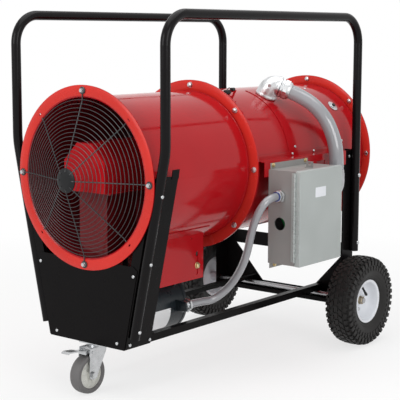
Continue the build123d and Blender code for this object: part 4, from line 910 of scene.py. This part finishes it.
def bent_body(build, start, corner, end, first_r, last_r):
    """Smooth quarter bend between two straight runs, a little fuller in the middle."""
    points = []
    radii = []
    for k in range(BEND_STEPS + 1):
        t = k / BEND_STEPS
        points.append(start * (1 - t) ** 2 + corner * 2 * t * (1 - t) + end * t ** 2)
        radii.append(first_r + (last_r - first_r) * t + 0.0012 * sin(pi * t))
    wire(build, points, radii, 40)


def elbow_fitting():
    """Cast right-angle fitting on the access cover."""
    build = bmesh.new()
    base = duct_point(0.207, ELBOW_ANGLE, ELBOW_Y)
    up = outward(ELBOW_ANGLE)
    corner = base + up * 0.04
    out = (place(*ELBOW_EXIT) - corner).normalized()
    lathe(build, mm((0, -12), (18.5, -12), (18.5, -0.5), (31.2, 0), (31.8, 1.2), (31.6, 6),
                    (30, 12), (0, 12.5)), facing(base, up), 48)
    bent_body(build, base + up * 0.003, corner + up * 0.006, corner + out * 0.03, 0.0306, 0.0252)
    lathe(build, mm((0, 22), (25.5, 22), (27.8, 24), (28.3, 26.2), (27.8, 28.5), (25.8, 30),
                    (0, 30)), facing(corner, out), 48)
    nut(build, corner + out * 0.0305, out, 0.0545, 0.006, 8, 0.2)
    nut(build, corner + out * 0.0385, out, 0.0535, 0.015, 8, 0.2)
    lathe(build, mm((0, 36), (26.2, 36), (26.2, 54), (24.5, 57.5), (23.2, 60), (0, 60)),
          facing(corner, out), 48)
    boss = corner + up * 0.024 + out * 0.022
    lathe(build, mm((0, 0), (6.2, 0), (5.8, 4), (5, 5.2), (0, 5.2)), facing(boss, up), 20)
    pan_head(build, boss + up * 0.005, up, 0.0042, 0.0022)
    side = up.cross(out).normalized()
    wire(build, [corner - side * 0.0262, corner - side * 0.0285], 0.005, 16)
    show(build, "elbow_casting", "zinc", ("elbow_fitting",), "cast_bright")


def rear_fitting():
    """Right-angle fitting on the back of the box, turned up."""
    build = bmesh.new()
    corner = place(0.286, 0.733, 0.48)
    wall = place(0.286, BOX_Y1, 0.48)
    back = Vector((0, 1, 0))
    up = Vector((0, 0, 1))
    nut(build, wall, back, 0.056, 0.01, 6, 0.3)
    nut(build, wall - back * 0.0016, -back, 0.056, 0.005, 6, 0.0)
    wire(build, [wall - back * 0.012, wall + back * 0.012], 0.0205, 40)
    wire(build, [wall + back * 0.008, corner - back * 0.03], 0.0222, 40)
    bent_body(build, corner - back * 0.034, corner, corner + up * 0.034, 0.0228, 0.0235)
    nut(build, corner + up * 0.032, up, 0.0462, 0.018, 8, 0.2)
    lathe(build, mm((0, 30), (22.4, 30), (22.4, 53), (21.8, 58), (0, 58)), facing(corner, up), 40)
    show(build, "rear_fitting", "zinc", ("box_rear_connector",), "steel")


def straight_fitting(name, node, base, out, across, reach, lock_depth):
    """Straight fitting: hexagon on the wall, sealing nut and blue throat ring."""
    build = bmesh.new()
    way = Vector(out)
    nut(build, base, way, across, 0.006, 6, 0.3)
    lathe(build, [(0, 0.005), (0.0126, 0.005), (0.0126, reach - 0.0006), (0, reach - 0.0006)],
          facing(base, way), 32)
    nut(build, base + way * (reach * 0.36), way, across * 0.9, reach * 0.46, 8, 0.1)
    wire(build, [base - way * (lock_depth + 0.006), base + way * 0.004], 0.0104, 24)
    if lock_depth > 0:
        nut(build, base - way * lock_depth, -way, across, 0.0038, 6, 0.0)
    show(build, name, "zinc", (node,))
    build = bmesh.new()
    lathe(build, [(0.0107, reach * 0.8), (0.0132, reach * 0.8), (0.0132, reach - 0.0002),
                  (0.012, reach), (0.0107, reach)], facing(base, way), 32)
    show(build, name + "_ring", "zinc", (), "throat_blue")


# ---- Limit switch and reset ----
LIMIT_ANGLE = 28.0                # of the tab and switch round the duct, from the top
TAB_HALF = 0.0008                 # half the tab's sheet thickness
TAB_EDGE = 0.009                  # width of the frame round the tab's square hole
RESET_ANGLE = 45.3
RESET_Y = 0.928


def limit_parts():
    """Square-holed tab and the small switch in front of it."""
    stand = Matrix.Rotation(radians(LIMIT_ANGLE), 4, "Y")

    def spot(x, y, r):
        return place(0, y, AXIS_Z) + stand @ Vector((x, 0, r))

    build = bmesh.new()
    foot, top = 0.2053, 0.235
    y0, y1 = 0.459, 0.49
    bars = ((y0, y0 + TAB_EDGE, foot, top), (y1 - TAB_EDGE, y1, foot, top),
            (y0 + TAB_EDGE, y1 - TAB_EDGE, foot, 0.2175), (y0 + TAB_EDGE, y1 - TAB_EDGE, 0.229, top))
    for a, b, low, high in bars:
        stacked(build, [[spot(x, a, low), spot(x, b, low), spot(x, b, high), spot(x, a, high)]
                        for x in (-TAB_HALF, TAB_HALF)])
    stacked(build, [[spot(-TAB_HALF, y, foot), spot(0.014, y, foot), spot(0.014, y, foot + 0.0016),
                     spot(-TAB_HALF, y, foot + 0.0016)] for y in (y0, y1)])
    bmesh.ops.remove_doubles(build, verts=build.verts, dist=0.00001)
    show(build, "limit_tab", "hood_red", ("limit_bracket",))
    build = bmesh.new()
    lathe(build, mm((0, 0), (3.8, 0), (4, 0.4), (4, 2.2), (6.2, 2.6), (6.6, 3.2), (6.6, 22),
                    (6, 23), (0, 23.2)), facing(spot(0, 0.4385, 0.23), (0, 1, 0)), 28)
    wire(build, [spot(0, 0.453 - 0.008 * cos(a), 0.2352 + 0.0085 * sin(a))
                 for a in turns(24)[:13]], 0.0012, 8)
    lathe(build, mm((0, 0), (5, 0), (5.4, 0.4), (5.4, 11), (4.8, 11.8), (0, 12)),
          facing(spot(0, 0.466, 0.2375), (0, 1, 0)), 24)
    show(build, "limit_switch_body", "black_plastic", ("limit_switch",))


def reset_washer():
    """Round plate and sleeve of the reset button."""
    build = bmesh.new()
    lathe(build, mm((5.6, -14), (8.5, -14), (8.5, 0.2), (16.8, 0.2), (17.4, 0.6), (17.2, 1.4),
                    (16, 1.8), (9.6, 1.9), (9.2, 3.6), (8.4, 4.2), (5.8, 4.2)),
          facing(duct_point(0.2053, RESET_ANGLE, RESET_Y), outward(RESET_ANGLE)), 48)
    show(build, "reset_plate", "zinc", ("reset_washer",))


# ---- Motor and caster ----
def motor_plate_blank():
    """Bare rating plate wrapped on the motor's side, held by four pins."""
    build = bmesh.new()
    arc = [radians(1 - 44 * k / 12) for k in range(13)]
    loop = [(MOTOR_R + 0.0001, a) for a in arc] + [(MOTOR_R + 0.0006, a) for a in reversed(arc)]
    stacked(build, [[place(r * cos(a), y, MOTOR_Z + r * sin(a)) for r, a in loop]
                    for y in (0.178, 0.245)])
    show(build, "motor_rating_plate", "black_paint", (), "plate_blank")
    build = bmesh.new()
    for y in (0.181, 0.242):
        for angle in (-1.5, -40.5):
            a = radians(angle)
            way = Vector((cos(a), 0, sin(a)))
            pan_head(build, place(0, y, MOTOR_Z) + way * (MOTOR_R + 0.0005), way, 0.0018, 0.0009)
    show(build, "rating_plate_pins", "steel")


def motor_entry():
    """Cast conduit entry on the motor's side, with the connector's lock nut."""
    build = bmesh.new()
    sizes = ((0.064, 0.0035), (0.08, 0.002), (0.108, 0.0), (0.1128, -0.0012), (0.1138, -0.004))
    stacked(build, [rounded_rectangle(x, (0.2665, 0.1815 - grow), (0.2725, 0.2085 + grow), 0.0025)
                    for x, grow in sizes])
    show(build, "motor_entry_boss", "black_paint", ("motor_conduit_box",), "motor_slate")
    build = bmesh.new()
    front = place(0.1, 0.2722, 0.195)
    nut(build, front, (0, 1, 0), 0.031, 0.005, 8, 0.1)
    lathe(build, mm((0, 4), (12.2, 4), (12.6, 6), (12.6, 13.5), (0, 13.5)),
          facing(front, (0, 1, 0)), 32)
    show(build, "motor_lock_nut", "zinc")


def caster_wheel():
    """Grey tread on a paler hub with ribbed faces."""
    axle = facing(place(0, CASTER_Y, CASTER_Z), (1, 0, 0))
    build = bmesh.new()
    lathe(build, both_faces(mm((36, -12), (38, -15), (40, -16), (46.5, -16), (49, -14.5),
                               (50.4, -10.5), (51, -6))), axle, 72)
    show(build, "caster_tread", "caster_rubber", ("caster_wheel",), body="caster_roller")
    build = bmesh.new()
    lathe(build, both_faces(mm((5, -17.5), (10.5, -17.5), (11, -17), (11.2, -10), (33, -8.5),
                               (34.5, -12.5), (37.2, -12.5))), axle, 48)
    for a in turns(10):
        for side in (-1, 1):
            wire(build, [place(side * x, CASTER_Y + r * cos(a), CASTER_Z + r * sin(a))
                         for x, r in ((0.0098, 0.011), (0.0092, 0.034))], 0.0016, 8)
    show(build, "caster_hub", "caster_rubber", (), "caster_hub", "caster_roller")


inlet_guard()
for wheel in ((1, "right"), (-1, "left")):
    road_tyre(*wheel)
    road_wheel(*wheel)
axle_and_nuts()
guard_bolts()
flange_bolts()
frame_screws()
motor_bolts()
flange_face("front_flange_face", 0.0, 0.2076, FLANGE_LIP, True)
flange_face("middle_flange_face", HOUSING_LEN - FLANGE_T, 0.2058, FLANGE_LIP)
flange_face("rear_flange_face", CASING_END - FLANGE_T, 0.2058, FLANGE_LIP - 0.003)
duct_seams()
box_door()
box_hinge()
box_fasteners()
elbow_fitting()
rear_fitting()
straight_fitting("box_side_fitting", "box_side_connector", place(0.288, BOX_Y0, 0.492),
                 (0, -1, 0), 0.032, 0.0204, 0.0016)
straight_fitting("motor_fitting", "motor_connector", place(0.1, 0.285, 0.195),
                 (0, 1, 0), 0.0335, 0.013, 0.0)
limit_parts()
reset_washer()
motor_plate_blank()
motor_entry()
caster_wheel()


# ---- Camera, floor and light ----
CAMERA_SPOT = (2.07067, -2.10737, 0.92429)
CAMERA_LENS = 105.7
CAMERA_DIP = 8.11                 # degrees below level
CAMERA_ROLL = -0.12
CAMERA_HEADING = 38.82
FLOOR_SHADOW = 0.72               # share of white near the heater, where its shadow shows
ROOM_LIGHT = 0.45                 # strength of the white room as light


def set_camera():
    """Camera at the photograph's place."""
    camera = bpy.data.cameras.new("Camera")
    camera.lens = CAMERA_LENS
    camera.sensor_width = 36.0
    camera.sensor_fit = "HORIZONTAL"
    camera.clip_start = 0.05
    camera.clip_end = 60.0
    thing = add_object("Camera", camera)
    thing.location = place(*CAMERA_SPOT)
    thing.rotation_euler = [radians(a) for a in (90 - CAMERA_DIP, CAMERA_ROLL, CAMERA_HEADING)]
    bpy.context.scene.camera = thing


def seen_rays(tree):
    """One for rays that come from the camera, straight or mirrored, zero for light."""
    path = tree.nodes.new("ShaderNodeLightPath")
    seen = math_node(tree, "ADD", path.outputs["Is Camera Ray"], path.outputs["Is Glossy Ray"])
    return math_node(tree, "ADD", seen, path.outputs["Is Transmission Ray"], True)


def set_floor():
    """Pale floor that keeps the heater's shadow."""
    mesh = bpy.data.meshes.new("floor")
    build = bmesh.new()
    bmesh.ops.create_grid(build, x_segments=1, y_segments=1, size=30.0)
    build.to_mesh(mesh)
    build.free()
    thing = add_object("floor", mesh)
    thing.location = (0, 0, -0.0006)
    material, tree, shader = fresh_material("Studio floor")
    shader.inputs["Base Color"].default_value = (0.93, 0.93, 0.93, 1)
    shader.inputs["Roughness"].default_value = 0.9
    shader.inputs["Specular IOR Level"].default_value = 0.0
    coords = tree.nodes.new("ShaderNodeTexCoord")
    reach = tree.nodes.new("ShaderNodeVectorMath")
    reach.operation = "LENGTH"
    tree.links.new(coords.outputs["Object"], reach.inputs[0])
    far = ranged(tree, reach.outputs["Value"], 0.7, 2.2, FLOOR_SHADOW, 1.0)
    glow = tree.nodes.new("ShaderNodeEmission")
    mix = tree.nodes.new("ShaderNodeMixShader")
    tree.links.new(math_node(tree, "MULTIPLY", far, seen_rays(tree)), mix.inputs[0])
    tree.links.new(shader.outputs[0], mix.inputs[1])
    tree.links.new(glow.outputs[0], mix.inputs[2])
    tree.links.new(mix.outputs[0], tree.nodes["Material Output"].inputs["Surface"])
    mesh.materials.append(material)


def set_world():
    """White room to the camera and in reflections, softer as light."""
    world = bpy.data.worlds.new("Studio")
    bpy.context.scene.world = world
    world.use_nodes = True
    tree = world.node_tree
    ground = tree.nodes["Background"]
    strength = ranged(tree, seen_rays(tree), 0.0, 1.0, ROOM_LIGHT, 1.0)
    ground.inputs["Color"].default_value = (1, 1, 1, 1)
    tree.links.new(strength, ground.inputs["Strength"])


def softbox(name, spot, target, size, power):
    """Square studio lamp that looks at a point."""
    lamp = bpy.data.lights.new(name, "AREA")
    lamp.shape = "RECTANGLE"
    lamp.size = size
    lamp.size_y = size
    lamp.energy = power
    thing = add_object(name, lamp)
    thing.location = Vector(spot)
    aim = Vector(target) - Vector(spot)
    thing.rotation_euler = aim.to_track_quat("-Z", "Y").to_euler()


set_camera()
set_floor()
set_world()
softbox("overhead box", (0.2, -0.1, 2.9), (0, 0, 0.4), 2.6, 42)
softbox("front box", (-0.6, -3.2, 1.7), (0, 0, 0.5), 1.6, 36)
softbox("right box", (3.0, -1.0, 1.6), (0.1, 0, 0.5), 1.6, 30)
bpy.context.scene.view_settings.view_transform = "Standard"
